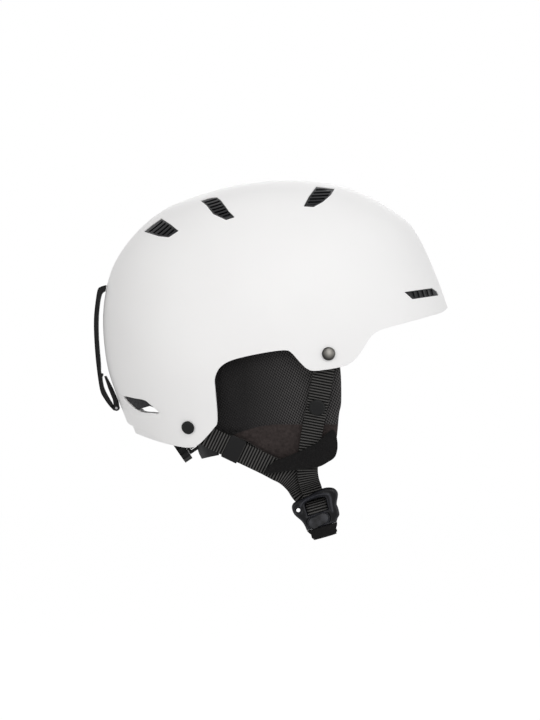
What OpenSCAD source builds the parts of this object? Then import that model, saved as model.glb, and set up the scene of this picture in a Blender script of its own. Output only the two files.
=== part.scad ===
// Snow sports helmet: rigid shell over a foam liner, with a turn-dial fit band, ear pads,
// a buckled chin harness and a goggle strap clip.
// Forward is +X, up is +Z and the wearer's left is +Y. Sizes are in millimetres.

/* [Overall] */
// Length of the shell, nape to peak
shell_l = 276; // [250:1:300]
// Width of the shell across the ears
shell_w = 212; // [190:1:230]
// Height of the shell, nape rim to crown
shell_h = 213; // [190:1:230]

/* [Shell and liner] */
// Thickness of the shell wall
shell_t = 2.5; // [1.5:0.1:4]
// Air gap between the shell and the liner
liner_gap = 0.3; // [0.2:0.1:1]
// Thickness of the crown and side comfort pads
comfort_t = 6; // [4:0.5:9]
// Thickness of the brow pad
brow_t = 8; // [5:0.5:10]

/* [Vents] */
// Depth of the grille face below the outer skin
grille_sink = 0.7; // [0.4:0.1:1.2]
// Thickness of a grille
grille_t = 1.8; // [1.4:0.1:2]
// Distance from one crown grille rib to the next
rib_pitch = 2.6; // [2.2:0.1:3.5]
// Distance from one brow grille rib to the next
brow_rib_pitch = 3.8; // [3:0.1:5]
// Width of the open slot between two ribs
slot_w = 1.4; // [1:0.1:2]

/* [Goggle clip] */
// Width of the clip across the shell
clip_w = 28; // [20:1:40]
// Thickness of the clip band
clip_t = 3.4; // [2.5:0.1:4.5]
// Radius of the clip's hinge pin
clip_pin_r = 1; // [0.8:0.1:1.4]

/* [Harness] */
// Width of the webbing
web_w = 16.5; // [14:0.5:20]
// Thickness of the webbing
web_t = 1.4; // [1:0.1:2]
// Diameter of the front rivet head
front_rivet_d = 10.7; // [8:0.1:13]
// Diameter of the rear rivet head
rear_rivet_d = 10.5; // [8:0.1:13]
// Diameter of the snap button on the front webbing
snap_d = 13; // [10:0.1:15]
// Length of a strap adjuster along the webbing
adjuster_l = 13; // [10:1:16]
// Width of the chin pad sleeve
sleeve_w = 19.5; // [18:0.5:24]

/* [Buckle] */
// Thickness of the buckle body
buckle_t = 9; // [8:0.1:12]
// Radius of the eyelet in the buckle
eyelet_r = 1.6; // [1:0.1:2.5]
// Depth the tongue reaches into the buckle
tongue_l = 8; // [6:0.5:9]
// Play all round the tongue and the button
buckle_play = 0.3; // [0.2:0.05:0.5]

/* [Ear pads] */
// Thickness of an ear pad
ear_t = 14; // [10:1:18]
// Lean of an ear pad from upright
ear_lean = 16; // [10:1:20]

/* [Fit system] */
// Diameter of the fit dial
dial_d = 32; // [26:1:36]
// Thickness of the fit dial
dial_t = 7.3; // [5:0.1:9]
// Lean of the dial's face under the nape
dial_lean = 34; // [20:1:40]
// Thickness of a fit band
band_t = 1.8; // [1.4:0.1:2.4]
// Height of a fit band
band_h = 13; // [10:1:16]
// Pitch radius of the dial pinion
pinion_r = 5; // [4.5:0.1:5.5]

/* [Hidden] */
$fn = 48;
far = 150;           // reach of a cut right through the helmet
skin_n = 2.3;        // squareness of a level section, 2 being an ellipse
kx = shell_l / 276;
ky = shell_w / 212;
kz = shell_h / 213;

function at(p) = [p[0] * kx, p[1] * ky, p[2] * kz];
function all_at(points) = [for (p = points) at(p)];
function side_at(points) = [for (p = points) [p[0] * kx, p[1] * kz]];
function unit(v) = v / norm(v);
function middle(points) = [for (i = [0, 1]) [for (p = points) 1] * [for (p = points) p[i]] / len(points)];
function shrunk(points, k) = let (m = middle(points)) [for (p = points) m + (p - m) * k];

// Rows of a rounded body, crown to skirt: level, front, rear, widest station, half width
skin_rows = [[104, 22, 22, 22, 0], [102.4, 48, -3.2, 21, 22.5], [97.8, 69, -28.5, 18, 41],
    [91.5, 86, -49, 14, 54], [84, 99.5, -69, 10, 65], [75.5, 112, -83.5, 6, 74],
    [68.6, 119.8, -92, 4, 80], [60, 125.8, -100.5, 2, 86], [48, 132, -110, 0, 92.5],
    [33, 138.6, -118.2, -2, 98.3], [16, 145.2, -123, -4, 103], [-4, 151.5, -125.4, -5, 105.6],
    [-26, 154, -124.6, -6, 106], [-48, 152, -121.2, -7, 104], [-68, 146, -114.6, -8, 99.5],
    [-86, 138, -107.6, -10, 94], [-104, 128, -100.5, -12, 88], [-120, 118, -94, -14, 82]];
cavity_rows = [[77, 15, 15, 15, 0], [75.5, 36, -7, 14, 19], [70, 58, -32, 12, 38],
    [61, 77, -52, 9, 54], [48, 92, -70, 6, 67], [31, 103, -84, 4, 76], [10, 109, -94, 2, 81],
    [-15, 112, -98, 0, 83], [-45, 110, -95, -2, 82], [-75, 104, -86, -4, 76],
    [-120, 95, -74, -6, 68]];
function sized(rows) = [for (r = rows) [r[0] * kz, r[1] * kx, r[2] * kx, r[3] * kx, r[4] * ky]];
function row_of(rows, i) = i < 0 ? [rows[1][0], rows[1][2], rows[1][1], rows[1][3], -rows[1][4]]
    : i >= len(rows) ? 2 * rows[len(rows) - 1] - rows[len(rows) - 2] : rows[i];
function blend(a, b, c, d, f) =
    (2 * b + (c - a) * f + (2 * a - 5 * b + 4 * c - d) * f * f
    + (3 * b - a - 3 * c + d) * f * f * f) / 2;
function level(rows, t) = let (i = floor(t))
    blend(row_of(rows, i - 1), row_of(rows, i), row_of(rows, i + 1), row_of(rows, i + 2), t - i);
function on_body(rows, t, turn) =
    let (r = level(rows, t), c = cos(turn), s = sin(turn))
    let (q = pow(pow(abs(c), skin_n) + pow(abs(s), skin_n), -1 / skin_n))
    [r[3] + (c > 0 ? r[1] - r[3] : r[3] - r[2]) * q * c, r[4] * q * s, r[0]];
function in_body(rows, t, turn, depth) =
    let (down = on_body(rows, t + 0.02, turn) - on_body(rows, t - 0.02, turn))
    let (across = on_body(rows, t, turn + 1) - on_body(rows, t, turn - 1))
    on_body(rows, t, turn) - depth * unit(cross(down, across));

// Closed rounded body, moved in from its outer surface by a depth
module rounded_body(rows, depth, rings, sides) {
    last = len(rows) - 1;
    top = level(rows, 0);
    low = level(rows, last);
    base = 1 + rings * sides;
    points = concat([[top[3], 0, top[0] - depth]],
        [for (i = [1 : rings], j = [0 : sides - 1])
            in_body(rows, last * i / rings, 360 * j / sides, depth)],
        [[low[3], 0, low[0]]]);
    faces = concat(
        [for (j = [0 : sides - 1]) [0, 1 + (j + 1) % sides, 1 + j]],
        [for (i = [0 : rings - 2], j = [0 : sides - 1])
            let (a = 1 + i * sides + j, b = 1 + i * sides + (j + 1) % sides) [a, b, a + sides]],
        [for (i = [0 : rings - 2], j = [0 : sides - 1])
            let (a = 1 + i * sides + j, b = 1 + i * sides + (j + 1) % sides)
            [b, b + sides, a + sides]],
        [for (j = [0 : sides - 1])
            [base, 1 + (rings - 1) * sides + j, 1 + (rings - 1) * sides + (j + 1) % sides]]);
    polyhedron(points = points, faces = faces, convexity = 6);
}

// Part of a rounded body between two depths
module layer(rows, outer, inner, rings, sides) {
    difference() {
        rounded_body(rows, outer, rings, sides);
        translate([0, 0, -1]) rounded_body(rows, inner - 1, rings, sides);
    }
}

// Side outline carried across the helmet, between two distances from its middle
module across(outline, near, reach) {
    translate([0, -near, 0]) rotate([90, 0, 0]) linear_extrude(reach - near) polygon(outline);
}

module both() {
    children();
    mirror([0, 1, 0]) children();
}

// Makes one closed mesh of its children
module one_mesh() resize([0, 0, 0]) children();

// Flat strip along a path, its width square to the path in side view
function strip_width(path, i) =
    let (t = path[min(i + 1, len(path) - 1)] - path[max(i - 1, 0)]) unit([t[2], 0, -t[0]]);
module strip(path, widths, half_w, half_t) {
    n = len(path);
    points = [for (i = [0 : n - 1])
        let (t = path[min(i + 1, n - 1)] - path[max(i - 1, 0)])
        let (w = widths[i] * half_w, d = unit(cross(widths[i], t)) * half_t)
        each [path[i] + w + d, path[i] - w + d, path[i] - w - d, path[i] + w - d]];
    sides = [for (i = [0 : n - 2], j = [0 : 3])
        let (a = 4 * i + j, b = 4 * i + (j + 1) % 4) each [[a, b, a + 4], [b, b + 4, a + 4]]];
    polyhedron(points = points, convexity = 6,
        faces = concat([[0, 2, 1], [0, 3, 2]], sides,
            [[4 * n - 4, 4 * n - 3, 4 * n - 2], [4 * n - 4, 4 * n - 2, 4 * n - 1]]));
}
module web(path, half_w = web_w / 2)
    strip(path, [for (i = [0 : len(path) - 1]) strip_width(path, i)], half_w, web_t / 2);

// Moves a piece to a point with its own z pointing out of the wearer's right side
module facing_out(point, yaw, pitch = 0)
    translate(at(point)) rotate([0, 0, yaw]) rotate([pitch, 0, 0]) rotate([90, 0, 0]) children();
module bar(length, radius, centre_z = 0)
    translate([0, 0, centre_z - length / 2]) cylinder(h = length, r = radius);

// Outlines seen from the side
rim = side_at([[-100.6, -97.9], [-84, -103.5], [-68.5, -107.5], [-56.2, -109.2], [-48.1, -106.6],
    [-36.8, -94.4], [-33.6, -87.6], [-35.2, -63.7], [-35.6, -54.9], [-31.8, -46.4], [-22.3, -40.3],
    [-0.9, -35.1], [18.9, -32.3], [24.8, -34.3], [33.4, -43.7], [40.3, -48.4], [52, -47.6],
    [64.3, -45.4], [70.4, -43.2], [76.8, -37.6], [86.4, -23.2], [91.2, -18.4], [100, -14.8],
    [124.8, -8], [144, -2.4], [150.4, 2.4]]);
liner_rim = side_at([[-107, -80], [-97.9, -79.6], [-87, -76.4], [-78, -80], [-70, -82], [-58, -84],
    [-47, -76], [-44, -58], [-40, -44], [-28, -29], [0, -23], [22, -20], [36, -23], [60, -23], [72, -18], [86, -8],
    [110, 0], [128, 6], [148, 14]]);
function above(line) = concat([[-far, line[0][1]]], line, [[far + 20, line[len(line) - 1][1]],
    [far + 20, far], [-far, far]]);
rear_vent = side_at([[-78.6, 72.8], [-64.2, 62.2], [-72.1, 57], [-80.2, 58], [-92.8, 62.2]]);
mid_vent = side_at([[-47.4, 86.8], [-34.6, 89.7], [-31, 86.9], [-24.4, 77.7], [-19.7, 72.8],
    [-26.7, 70.6], [-36.9, 75.4], [-42.2, 82.3]]);
front_vent = side_at([[44.9, 98.3], [59.8, 96.6], [56.1, 90.8], [49.9, 85.2], [42.6, 81],
    [34.4, 81.5], [38.7, 89.7]]);
brow_vent = side_at([[114.2, 13.8], [137.1, 17.2], [140.9, 14.6], [142.6, 11.5], [120.7, 8.1]]);
side_vent = side_at([[-108.7, -69.2], [-95.6, -71.5], [-87.4, -75.8], [-79.8, -81.4],
    [-85.7, -82], [-95.6, -80.4], [-99.5, -78.7], [-105.4, -74.2]]);
crown_gap = 4;       // half the solid spine between the left and right vents

module shell() {
    color("#eceae8") one_mesh() intersection() {
        difference() {
            rounded_body(sized(skin_rows), 0, 34, 44);
            translate([0, 0, -1]) rounded_body(sized(skin_rows), shell_t - 1, 34, 44);
            both() {
                for (v = [rear_vent, mid_vent, front_vent, brow_vent]) across(v, crown_gap, far);
                across(side_vent, 0, far);
                facing_out(front_rivet, front_yaw) bar(20, rivet_hole_r);
                facing_out(rear_rivet, rear_yaw, rear_pitch) bar(20, rivet_hole_r);
            }
        }
        across(above(rim), -far, far);
    }
}

module eps_liner() {
    color("#26262a") one_mesh() intersection() {
        difference() {
            rounded_body(sized(skin_rows), shell_t + liner_gap, 26, 36);
            rounded_body(sized(cavity_rows), 0, 20, 32);
            both() {
                for (v = [rear_vent, mid_vent, front_vent]) across(shrunk(v, 0.72), crown_gap, far);
                across(shrunk(brow_vent, 0.6), crown_gap, far);
                facing_out([temple[0], temple[1] - 8, temple[2]], 0) bar(26, temple_pin_r + 0.4);
            }
        }
        across(above(liner_rim), -far, far);
    }
}

// Vent grille: a plate let into the shell, with slots between slanted ribs
module grille(outline, slant, slots, pitch = rib_pitch) {
    one_mesh() difference() {
        intersection() {
            layer(sized(skin_rows), grille_sink, grille_sink + grille_t, 34, 44);
            across(shrunk(outline, 0.955), crown_gap, far);
        }
        translate([0, -crown_gap, 0]) rotate([90, 0, 0]) linear_extrude(far) intersection() {
            translate(middle(outline)) rotate(slant) for (i = [0 : slots - 1])
                translate([(i - (slots - 1) / 2) * pitch, 0]) square([slot_w, 60], center = true);
            polygon(shrunk(outline, 0.8));
        }
    }
}
module grille_crown_rear_right() color("#18181a") grille(rear_vent, -52, 5);
module grille_crown_rear_left() mirror([0, 1, 0]) grille_crown_rear_right();
module grille_crown_mid_right() color("#18181a") grille(mid_vent, -72, 6);
module grille_crown_mid_left() mirror([0, 1, 0]) grille_crown_mid_right();
module grille_crown_front_right() color("#18181a") grille(front_vent, -87, 6);
module grille_crown_front_left() mirror([0, 1, 0]) grille_crown_front_right();
module grille_brow_right() color("#18181a") grille(brow_vent, 14, 5, brow_rib_pitch);
module grille_brow_left() mirror([0, 1, 0]) grille_brow_right();

// Comfort pads, each a shaped cushion against the liner
module cushion(outline, near, reach, thick) one_mesh() intersection() {
    layer(sized(cavity_rows), liner_gap, liner_gap + thick, 20, 32);
    across(side_at(outline), near, reach);
}
module brow_pad() color("#161617")
    cushion([[62, 36], [70, 4], [130, 6], [130, 30], [110, 36]], -far, far, brow_t);
module crown_pad() color("#161617") one_mesh() intersection() {
    layer(sized(cavity_rows), liner_gap, liner_gap + comfort_t, 20, 32);
    translate([12 * kx, 0, 0]) linear_extrude(far) intersection() {
        circle(r = 46, $fn = 8);
        square([92, 58], center = true);
    }
}
module side_pad_right() color("#161617")
    cushion([[-40, 8], [36, 8], [30, 34], [-34, 34]], 20, far, comfort_t);
module side_pad_left() mirror([0, 1, 0]) side_pad_right();
module rear_pad() color("#161617")
    cushion([[-130, 34], [-74, 34], [-66, 12], [-130, 2]], -far, far, comfort_t);

// Goggle clip: base on the shell, band that swings on a pin at its lower end
clip_hinge = [-114.6, 0, -78.4];
knuckle_r = 2.3;
knuckle_gap = 0.3;
knuckle_w = clip_w * 0.54;
module across_middle(width) rotate([90, 0, 0]) translate([0, 0, -width / 2]) linear_extrude(width)
    children();
module at_clip_hinge() translate(at(clip_hinge)) rotate([90, 0, 0]) children();
module goggle_clip_base() color("#111112") difference() {
    union() {
        across_middle(clip_w) polygon(side_at([[-123, -52.6], [-124.4, -53], [-121.2, -62.5],
            [-117.6, -71.5], [-116.4, -77.6], [-112.6, -77.6], [-113.4, -72.6], [-117.6, -63]]));
        at_clip_hinge() bar(clip_w, knuckle_r);
    }
    at_clip_hinge() {
        bar(knuckle_w + 2 * knuckle_gap, knuckle_r + 1.3);
        bar(clip_w + 2, clip_pin_r + 0.05);
    }
}
module goggle_clip_band() color("#111112") difference() {
    union() {
        across_middle(clip_w) polygon(side_at([[-122.9, 19.8], [-129.8, 15.4], [-132.6, -9.4],
            [-132.2, -24.3], [-130.7, -42.9], [-127.8, -63.3], [-119.6, -77.5], [-117.6, -75.4],
            [-124.9, -61.6], [-126.2, -54.2], [-125.6, -52.6], [-125.6, -50.8], [-127.2, -49.8],
            [-127.4, -42.9], [-128.9, -24.3], [-129.2, -9.4], [-126.6, 12.4], [-123.8, 15]]));
        across_middle(knuckle_w) polygon(side_at([[-119.6, -77.5], [-117.6, -75.4],
            [-114.6, -76.4], [-114.6, -80.4], [-117, -80.3]]));
        at_clip_hinge() bar(knuckle_w, knuckle_r);
    }
    at_clip_hinge() bar(clip_w + 2, clip_pin_r + 0.05);
    both() at_clip_hinge() bar(clip_w - knuckle_w, knuckle_r + 0.8, clip_w / 2 + knuckle_gap);
}
module goggle_clip_pin() color("#55565a") at_clip_hinge() bar(clip_w - 0.4, clip_pin_r);

// Rivets, with the hidden washers that clamp the webbing behind the shell
front_rivet = [54, -100.5, -35.1];
rear_rivet = [-56.5, -83.9, -93.2];
front_yaw = 11;
rear_yaw = -23;
rear_pitch = 17;
rivet_hole_r = 2.8;
rivet_shank_r = 2.4;
front_shank_l = 10.2;
rear_shank_l = 13.8;
module rivet(head_d, head_h, dome, shank) {
    rotate_extrude() polygon([[0, 0.35], [head_d / 2, 0.35], [head_d / 2, 0.35 + head_h * (1 - dome)],
        [head_d * 0.44, 0.35 + head_h * (1 - dome / 3)], [head_d * 0.3, 0.35 + head_h], [0, 0.35 + head_h]]);
    translate([0, 0, -shank]) cylinder(h = shank + 0.5, r = rivet_shank_r);
}
module washer(depth) translate([0, 0, -depth]) difference() {
    cylinder(h = 1.2, r = 5.6);
    translate([0, 0, -1]) cylinder(h = 4, r = rivet_shank_r + 0.15);
}
module front_rivets() color("#4a4b50") both() facing_out(front_rivet, front_yaw)
    rivet(front_rivet_d, 2.4, 0.8, front_shank_l);
module rear_rivets() color("#141415") both() facing_out(rear_rivet, rear_yaw, rear_pitch)
    rivet(rear_rivet_d, 1.6, 0.4, rear_shank_l);
module rivet_washers() color("#6a6b6f") both() {
    facing_out(front_rivet, front_yaw) washer(front_shank_l - 0.2);
    facing_out(rear_rivet, rear_yaw, rear_pitch) washer(rear_shank_l - 0.2);
}

// Webbing
front_web_path = all_at([[54.6, -94.3, -26.5], [50.4, -93.6, -49], [46.3, -87.6, -70.4],
    [43.2, -82.4, -86], [39.4, -75.4, -108], [37.6, -69.4, -126], [38.6, -62.5, -135]]);
rear_web_path = all_at([[-63, -71.8, -92.6], [-56.5, -75.2, -93], [-40, -81.3, -101],
    [6, -72.8, -123.2], [13, -70.2, -127], [20, -68.6, -130.6], [28, -59.5, -138]]);
snap = [45, -85.4, -77.1];
snap_pitch = 18.4;
module front_web_right() color("#101011") difference() {
    web(concat(front_web_path, buckle_points([[0, 17.6, -5.5], [0, 8.4, -5.5], [0, 4.8, -2.4],
        [0, 2.4, -0.4]])));
    facing_out(front_rivet, front_yaw) bar(30, rivet_shank_r + 0.2);
    at_snap() bar(8, snap_post_r + 0.2);
}
module front_web_left() mirror([0, 1, 0]) color("#101011") difference() {
    web(concat(front_web_path, buckle_points([[0, 16, 3.4], [0, 9.5, 1.8], [0, -0.5, 1.7]])));
    facing_out(front_rivet, front_yaw) bar(30, rivet_shank_r + 0.2);
    at_snap() bar(8, snap_post_r + 0.2);
}
module rear_web_right() color("#101011") difference() {
    web(concat(rear_web_path, buckle_points([[-8, 16.5, -8.2], [-2, 8, -7.4], [0, 2, -7.2]])));
    facing_out(rear_rivet, rear_yaw, rear_pitch) bar(26, rivet_shank_r + 0.2);
}
module rear_web_left() mirror([0, 1, 0]) color("#101011") difference() {
    web(concat(rear_web_path, buckle_points([[-6, 18, -5], [0, 11, -2], [0, 8, -1.7],
        [0, -0.5, -1.7]])));
    facing_out(rear_rivet, rear_yaw, rear_pitch) bar(26, rivet_shank_r + 0.2);
}

// Snap that holds the webbing to the ear pad: cap outside, socket inside
snap_post_r = 1.8;
snap_gap = 0.45;
module at_snap() facing_out(snap, 0, snap_pitch) children();
module snap_buttons() color("#131314") both() at_snap() {
    rotate_extrude() polygon([[0, web_t / 2 + snap_gap], [snap_d / 2, web_t / 2 + snap_gap],
        [snap_d / 2, web_t / 2 + 1.2], [snap_d * 0.42, web_t / 2 + 2.1], [0, web_t / 2 + 2.3]]);
    translate([0, 0, -2.4]) cylinder(h = 4, r = snap_post_r);
}
module snap_sockets() color("#2a2a2c") both() at_snap() translate([0, 0, -web_t / 2 - snap_gap - 1.8]) difference() {
    cylinder(h = 1.8, r = snap_d * 0.42);
    translate([0, 0, -1]) cylinder(h = 4, r = snap_post_r + 0.15);
}

// Strap adjuster on the straight run of the rear webbing
run_a = rear_web_path[2];
run_b = rear_web_path[3];
module on_rear_run(share) {
    o = run_a + (run_b - run_a) * share;
    x = unit(run_b - run_a);
    y = unit([x[2], 0, -x[0]]);
    z = cross(x, y);
    multmatrix([[x[0], y[0], z[0], o[0]], [x[1], y[1], z[1], o[1]], [x[2], y[2], z[2], o[2]]])
        children();
}
module strap_adjuster_right() color("#0f0f10") on_rear_run(0.42) difference() {
    cube([adjuster_l, web_w + 2.6, web_t + 3], center = true);
    cube([adjuster_l + 2, web_w + 0.6, web_t + 0.8], center = true);
    translate([0, 0, web_t]) cube([adjuster_l * 0.4, web_w - 4, 6], center = true);
}
module strap_adjuster_left() mirror([0, 1, 0]) strap_adjuster_right();

// Buckle frame: x across the buckle, y up it, z out of the wearer's right side
buckle = [46, -60, -160];
buckle_roll = 16;
function buckle_points(points) = [for (p = points)
    [buckle[0] * kx + cos(buckle_roll) * p[0] - sin(buckle_roll) * p[1], buckle[1] * ky - p[2],
    buckle[2] * kz + sin(buckle_roll) * p[0] + cos(buckle_roll) * p[1]]];
module at_buckle() translate(at(buckle)) rotate([90, 0, 0]) rotate([0, 0, buckle_roll]) children();
module oval(long, r) {
    square([2 * (long - r), 2 * r], center = true);
    for (s = [-1, 1]) translate([s * (long - r), 0]) circle(r = r);
}
boss = [-1.6, -7];
boss_roll = 10;
boss_long = 8.2;
boss_r = 3.9;
tongue_w = 15;
mouth_y = -12;
module at_boss() translate(boss) rotate(boss_roll) children();
module slab(low, high) translate([0, 0, low]) linear_extrude(high - low) children();
module buckle_female() color("#0d0d0e") at_buckle() difference() {
    slab(-buckle_t / 2, buckle_t / 2) polygon([[-14, 12.6], [-17.6, 11.2], [-19.2, 8], [-18.6, 2.6],
        [-14.6, -3.6], [-13.2, -8], [-12.6, mouth_y], [12, mouth_y], [13.6, -9.2], [15.8, -6.8],
        [16.2, -1], [16, 2], [19, 8.6], [18.6, 12.4], [15.8, 15.2], [8.4, 16.6], [-4, 14.2]]);
    slab(-buckle_t, buckle_t) polygon([[-9.1, 9.3], [9.8, 9], [11.4, 7.3], [9.6, 1.2],
        [8, -0.6], [-8.2, -1.2], [-9.8, 0.6], [-10.6, 4]]);
    translate([-14.7, 5.3, -buckle_t]) cylinder(h = 2 * buckle_t, r = eyelet_r);
    translate([-tongue_w / 2 - buckle_play, mouth_y - 1, -1.4 - buckle_play])
        cube([tongue_w + 2 * buckle_play, tongue_l + 1.6, 2.4 + 2 * buckle_play]);
    slab(1, 3.1) at_boss() oval(boss_long + 0.9, boss_r + 0.9);
    slab(3, buckle_t) at_boss() oval(boss_long + 0.25, boss_r + 0.25);
}
module buckle_button() color("#1b1b1d") at_buckle() {
    slab(2.5, 3) at_boss() oval(boss_long + 0.6, boss_r + 0.6);
    slab(2.6, buckle_t / 2 + 0.9) at_boss() oval(boss_long, boss_r);
    slab(buckle_t / 2 + 0.8, buckle_t / 2 + 1.5) at_boss() oval(boss_long - 0.9, boss_r - 0.9);
}
male_y = mouth_y - 0.4;
male_low = male_y - 3;
module buckle_male() color("#0d0d0e") at_buckle() difference() {
    union() {
        translate([-tongue_w / 2, male_y - 0.5, -1.4]) cube([tongue_w, tongue_l + 0.8, 2.4]);
        slab(-3.2, 3.2) polygon([[-11.8, male_y], [11.4, male_y], [10.6, male_low], [-11, male_low]]);
    }
    slab(-1, 1) polygon([[-8.6, male_y - 1], [8.6, male_y - 1], [8.6, male_low - 1],
        [-8.6, male_low - 1]]);
    slab(-2, 2) translate([0, male_y + 4]) square([7, 3], center = true);
}

// Chin strap: out of the tongue piece, under the chin and up to the keeper on the left
chin_low = -18.2;
chin_y = -buckle[1];
chin_profile = [[-chin_y, male_y - 1.4], [-chin_y, male_low - 0.3], [-chin_y + 1, chin_low + 1],
    [-chin_y + 4, chin_low], [-40, chin_low - 0.4], [-20, chin_low - 0.7], [0, chin_low - 0.8],
    [20, chin_low - 0.7], [40, chin_low - 0.4], [chin_y - 4, chin_low], [chin_y - 1, chin_low + 1.6],
    [chin_y, chin_low + 4], [chin_y, -6], [chin_y, 8.5]];
function chin_point(p) = [buckle[0] * kx - sin(buckle_roll) * p[1], p[0] * ky,
    buckle[2] * kz + cos(buckle_roll) * p[1]];
chin_across = [cos(buckle_roll), 0, sin(buckle_roll)];
module chin_run(profile, half_w, half_t) {
    path = [for (p = profile) chin_point(p)];
    strip(path, [for (p = path) chin_across], half_w, half_t);
}
module chin_strap() color("#101011") chin_run(chin_profile, web_w / 2, web_t / 2);
sleeve_gap = 0.25;
sleeve_t = 1.5;
module chin_sleeve() color("#151516") difference() {
    chin_run([for (i = [3 : 9]) chin_profile[i]], sleeve_w / 2 + sleeve_t / 2,
        web_t / 2 + sleeve_gap + sleeve_t);
    chin_run([for (i = [2 : 10]) chin_profile[i]], web_w / 2 + sleeve_gap, web_t / 2 + sleeve_gap);
}

// Left side: the two webs end on a keeper that the chin strap runs through
module strap_keeper() color("#0d0d0e") mirror([0, 1, 0]) at_buckle() difference() {
    translate([0, 3.6, 0]) cube([web_w + 6, 8, 8.6], center = true);
    translate([0, 3.6, 0]) cube([web_w + 1.2, 10, 5.9], center = true);
}

// Ear pads: a leaning cushion in the ear opening, with a fabric band over the webbing
ear_top = [-93.5, -36];
ear_outline = side_at([[-37, -48], [-31, -38], [-12, -31], [14, -28], [28, -33], [40, -42], [60, -42],
    [63.6, -50], [64.3, -74], [62.6, -84], [60.6, -104], [56.8, -117.4], [46, -123.4],
    [30, -125], [16, -119], [3, -111.6], [-12, -102], [-24, -98], [-33, -97], [-38, -92], [-37, -66]]);
module ear_slab(points, low, high) translate([0, ear_top[0] * ky, ear_top[1] * kz])
    rotate([ear_lean, 0, 0]) rotate([90, 0, 0]) translate([0, 0, low]) linear_extrude(high - low)
    polygon([for (p = points) [p[0], (p[1] - ear_top[1] * kz) / cos(ear_lean)]]);
module ear_pad_right() color("#141415") ear_slab(ear_outline, -ear_t, 0);
module ear_pad_left() mirror([0, 1, 0]) ear_pad_right();
band_low = web_t + 3.8;
module ear_band_right() color("#101011") {
    ear_slab(side_at([[57.5, -93.1], [61.4, -104.3], [59.7, -114.4], [54, -119], [45.2, -123.3],
        [29.4, -125], [12, -125.8], [7, -123.6], [6.4, -121], [18, -116.5], [31, -110.8],
        [45.3, -103.6]]), band_low, band_low + 1.4);
    ear_slab(side_at([[57.4, -98], [58.8, -104], [55.4, -115], [53.4, -116.5]]), 0.3, band_low);
    ear_slab(side_at([[22, -115], [27.3, -112.8], [28.6, -114.6], [24.5, -117.6]]), 0.3, band_low);
}
module ear_band_left() mirror([0, 1, 0]) ear_band_right();

// Fit band arms: a rack plate at the nape, an arm round the head and a pin at the temple
temple = [45, -75.6, -12];
temple_pin_r = 3.4;
temple_pin_l = 15;
arm_path = all_at([[45, -75.6, -12], [30, -77.8, -13.5], [15, -79, -16], [-2, -79.2, -19.5],
    [-18, -78, -24], [-32, -74.4, -32], [-45, -68, -43], [-54, -60, -56], [-60, -50.5, -71],
    [-61.6, -42, -84]]);
dial = [-62.4, 0, -104.9];
module at_dial() translate(at(dial)) rotate([0, -dial_lean, 0]) children();
tooth_n = 10;
module out_of_dial(low, high) rotate([0, 90, 0]) translate([0, 0, low]) linear_extrude(high - low)
    children();
plate_h = 19;
plate_end = 12;
plate_start = -25;
window = [-13.4, 7.8];
pitch = 2 * PI * pinion_r / tooth_n;
// Rack plate in its own plane: x down the plate, y across the helmet
module rack_outline() {
    difference() {
        translate([-plate_h / 2, plate_start]) square([plate_h, plate_end - plate_start]);
        translate([-pinion_r - 1.2, window[0]])
            square([2 * pinion_r + 2.4, window[1] - window[0]]);
    }
    for (i = [-4 : 2]) translate([-pinion_r, (i + 0.5) * pitch])
        polygon([[-1.4, -0.72], [0.7, -0.36], [0.7, 0.36], [-1.4, 0.72]]);
}
module arm(tail) {
    path = concat(arm_path, tail);
    strip(path, [for (i = [0 : len(path) - 1])
        unit([0, 0, 1] + [-0.56, 0, -0.17] * (i < 5 ? 0 : (i - 4) / (len(path) - 5)))],
        band_h / 2, band_t / 2);
    translate(at(temple)) rotate([90, 0, 0]) translate([0, 0, -band_t / 2])
        cylinder(h = temple_pin_l + band_t / 2, r = temple_pin_r);
}
function dial_point(p) = [dial[0] * kx + cos(dial_lean) * p[0] - sin(dial_lean) * p[2],
    p[1], dial[2] * kz + sin(dial_lean) * p[0] + cos(dial_lean) * p[2]];
right_plate_x = 5.1;
left_plate_x = 2.7;
module fit_band_right() color("#1d1d1f") {
    arm([for (y = [-31, plate_start]) dial_point([right_plate_x + band_t / 2, y, 0])]);
    at_dial() out_of_dial(right_plate_x, right_plate_x + band_t) rack_outline();
}
module fit_band_left() color("#1d1d1f") {
    mirror([0, 1, 0])
        arm([for (y = [-31, plate_start]) dial_point([left_plate_x + band_t / 2, y, 0])]);
    at_dial() rotate([180, 0, 0]) out_of_dial(left_plate_x, left_plate_x + band_t) rack_outline();
}
module dial_pinion() color("#d6d6d2") at_dial() {
    out_of_dial(2.4, 7.2) {
        circle(r = pinion_r - 1);
        for (i = [0 : tooth_n - 1]) rotate(360 / tooth_n * i)
            polygon([[pinion_r - 1.3, -0.75], [pinion_r + 0.8, -0.36], [pinion_r + 0.8, 0.36],
                [pinion_r - 1.3, 0.75]]);
    }
    out_of_dial(-1.2, 8.8) circle(r = 1.9);
}
module fit_dial() color("#121213") at_dial() difference() {
    out_of_dial(-dial_t, -0.6) circle(r = dial_d / 2);
    out_of_dial(-1.3, 1) circle(r = 2);
    for (i = [0 : 17]) rotate([20 * i, 0, 0]) translate([0, 0, dial_d / 2 + 0.6])
        rotate([0, -90, 0]) translate([0, 0, 1]) cylinder(h = dial_t - 1.4, r = 1.3);
}
housing_w = 40;
housing_h = 25;
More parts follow.
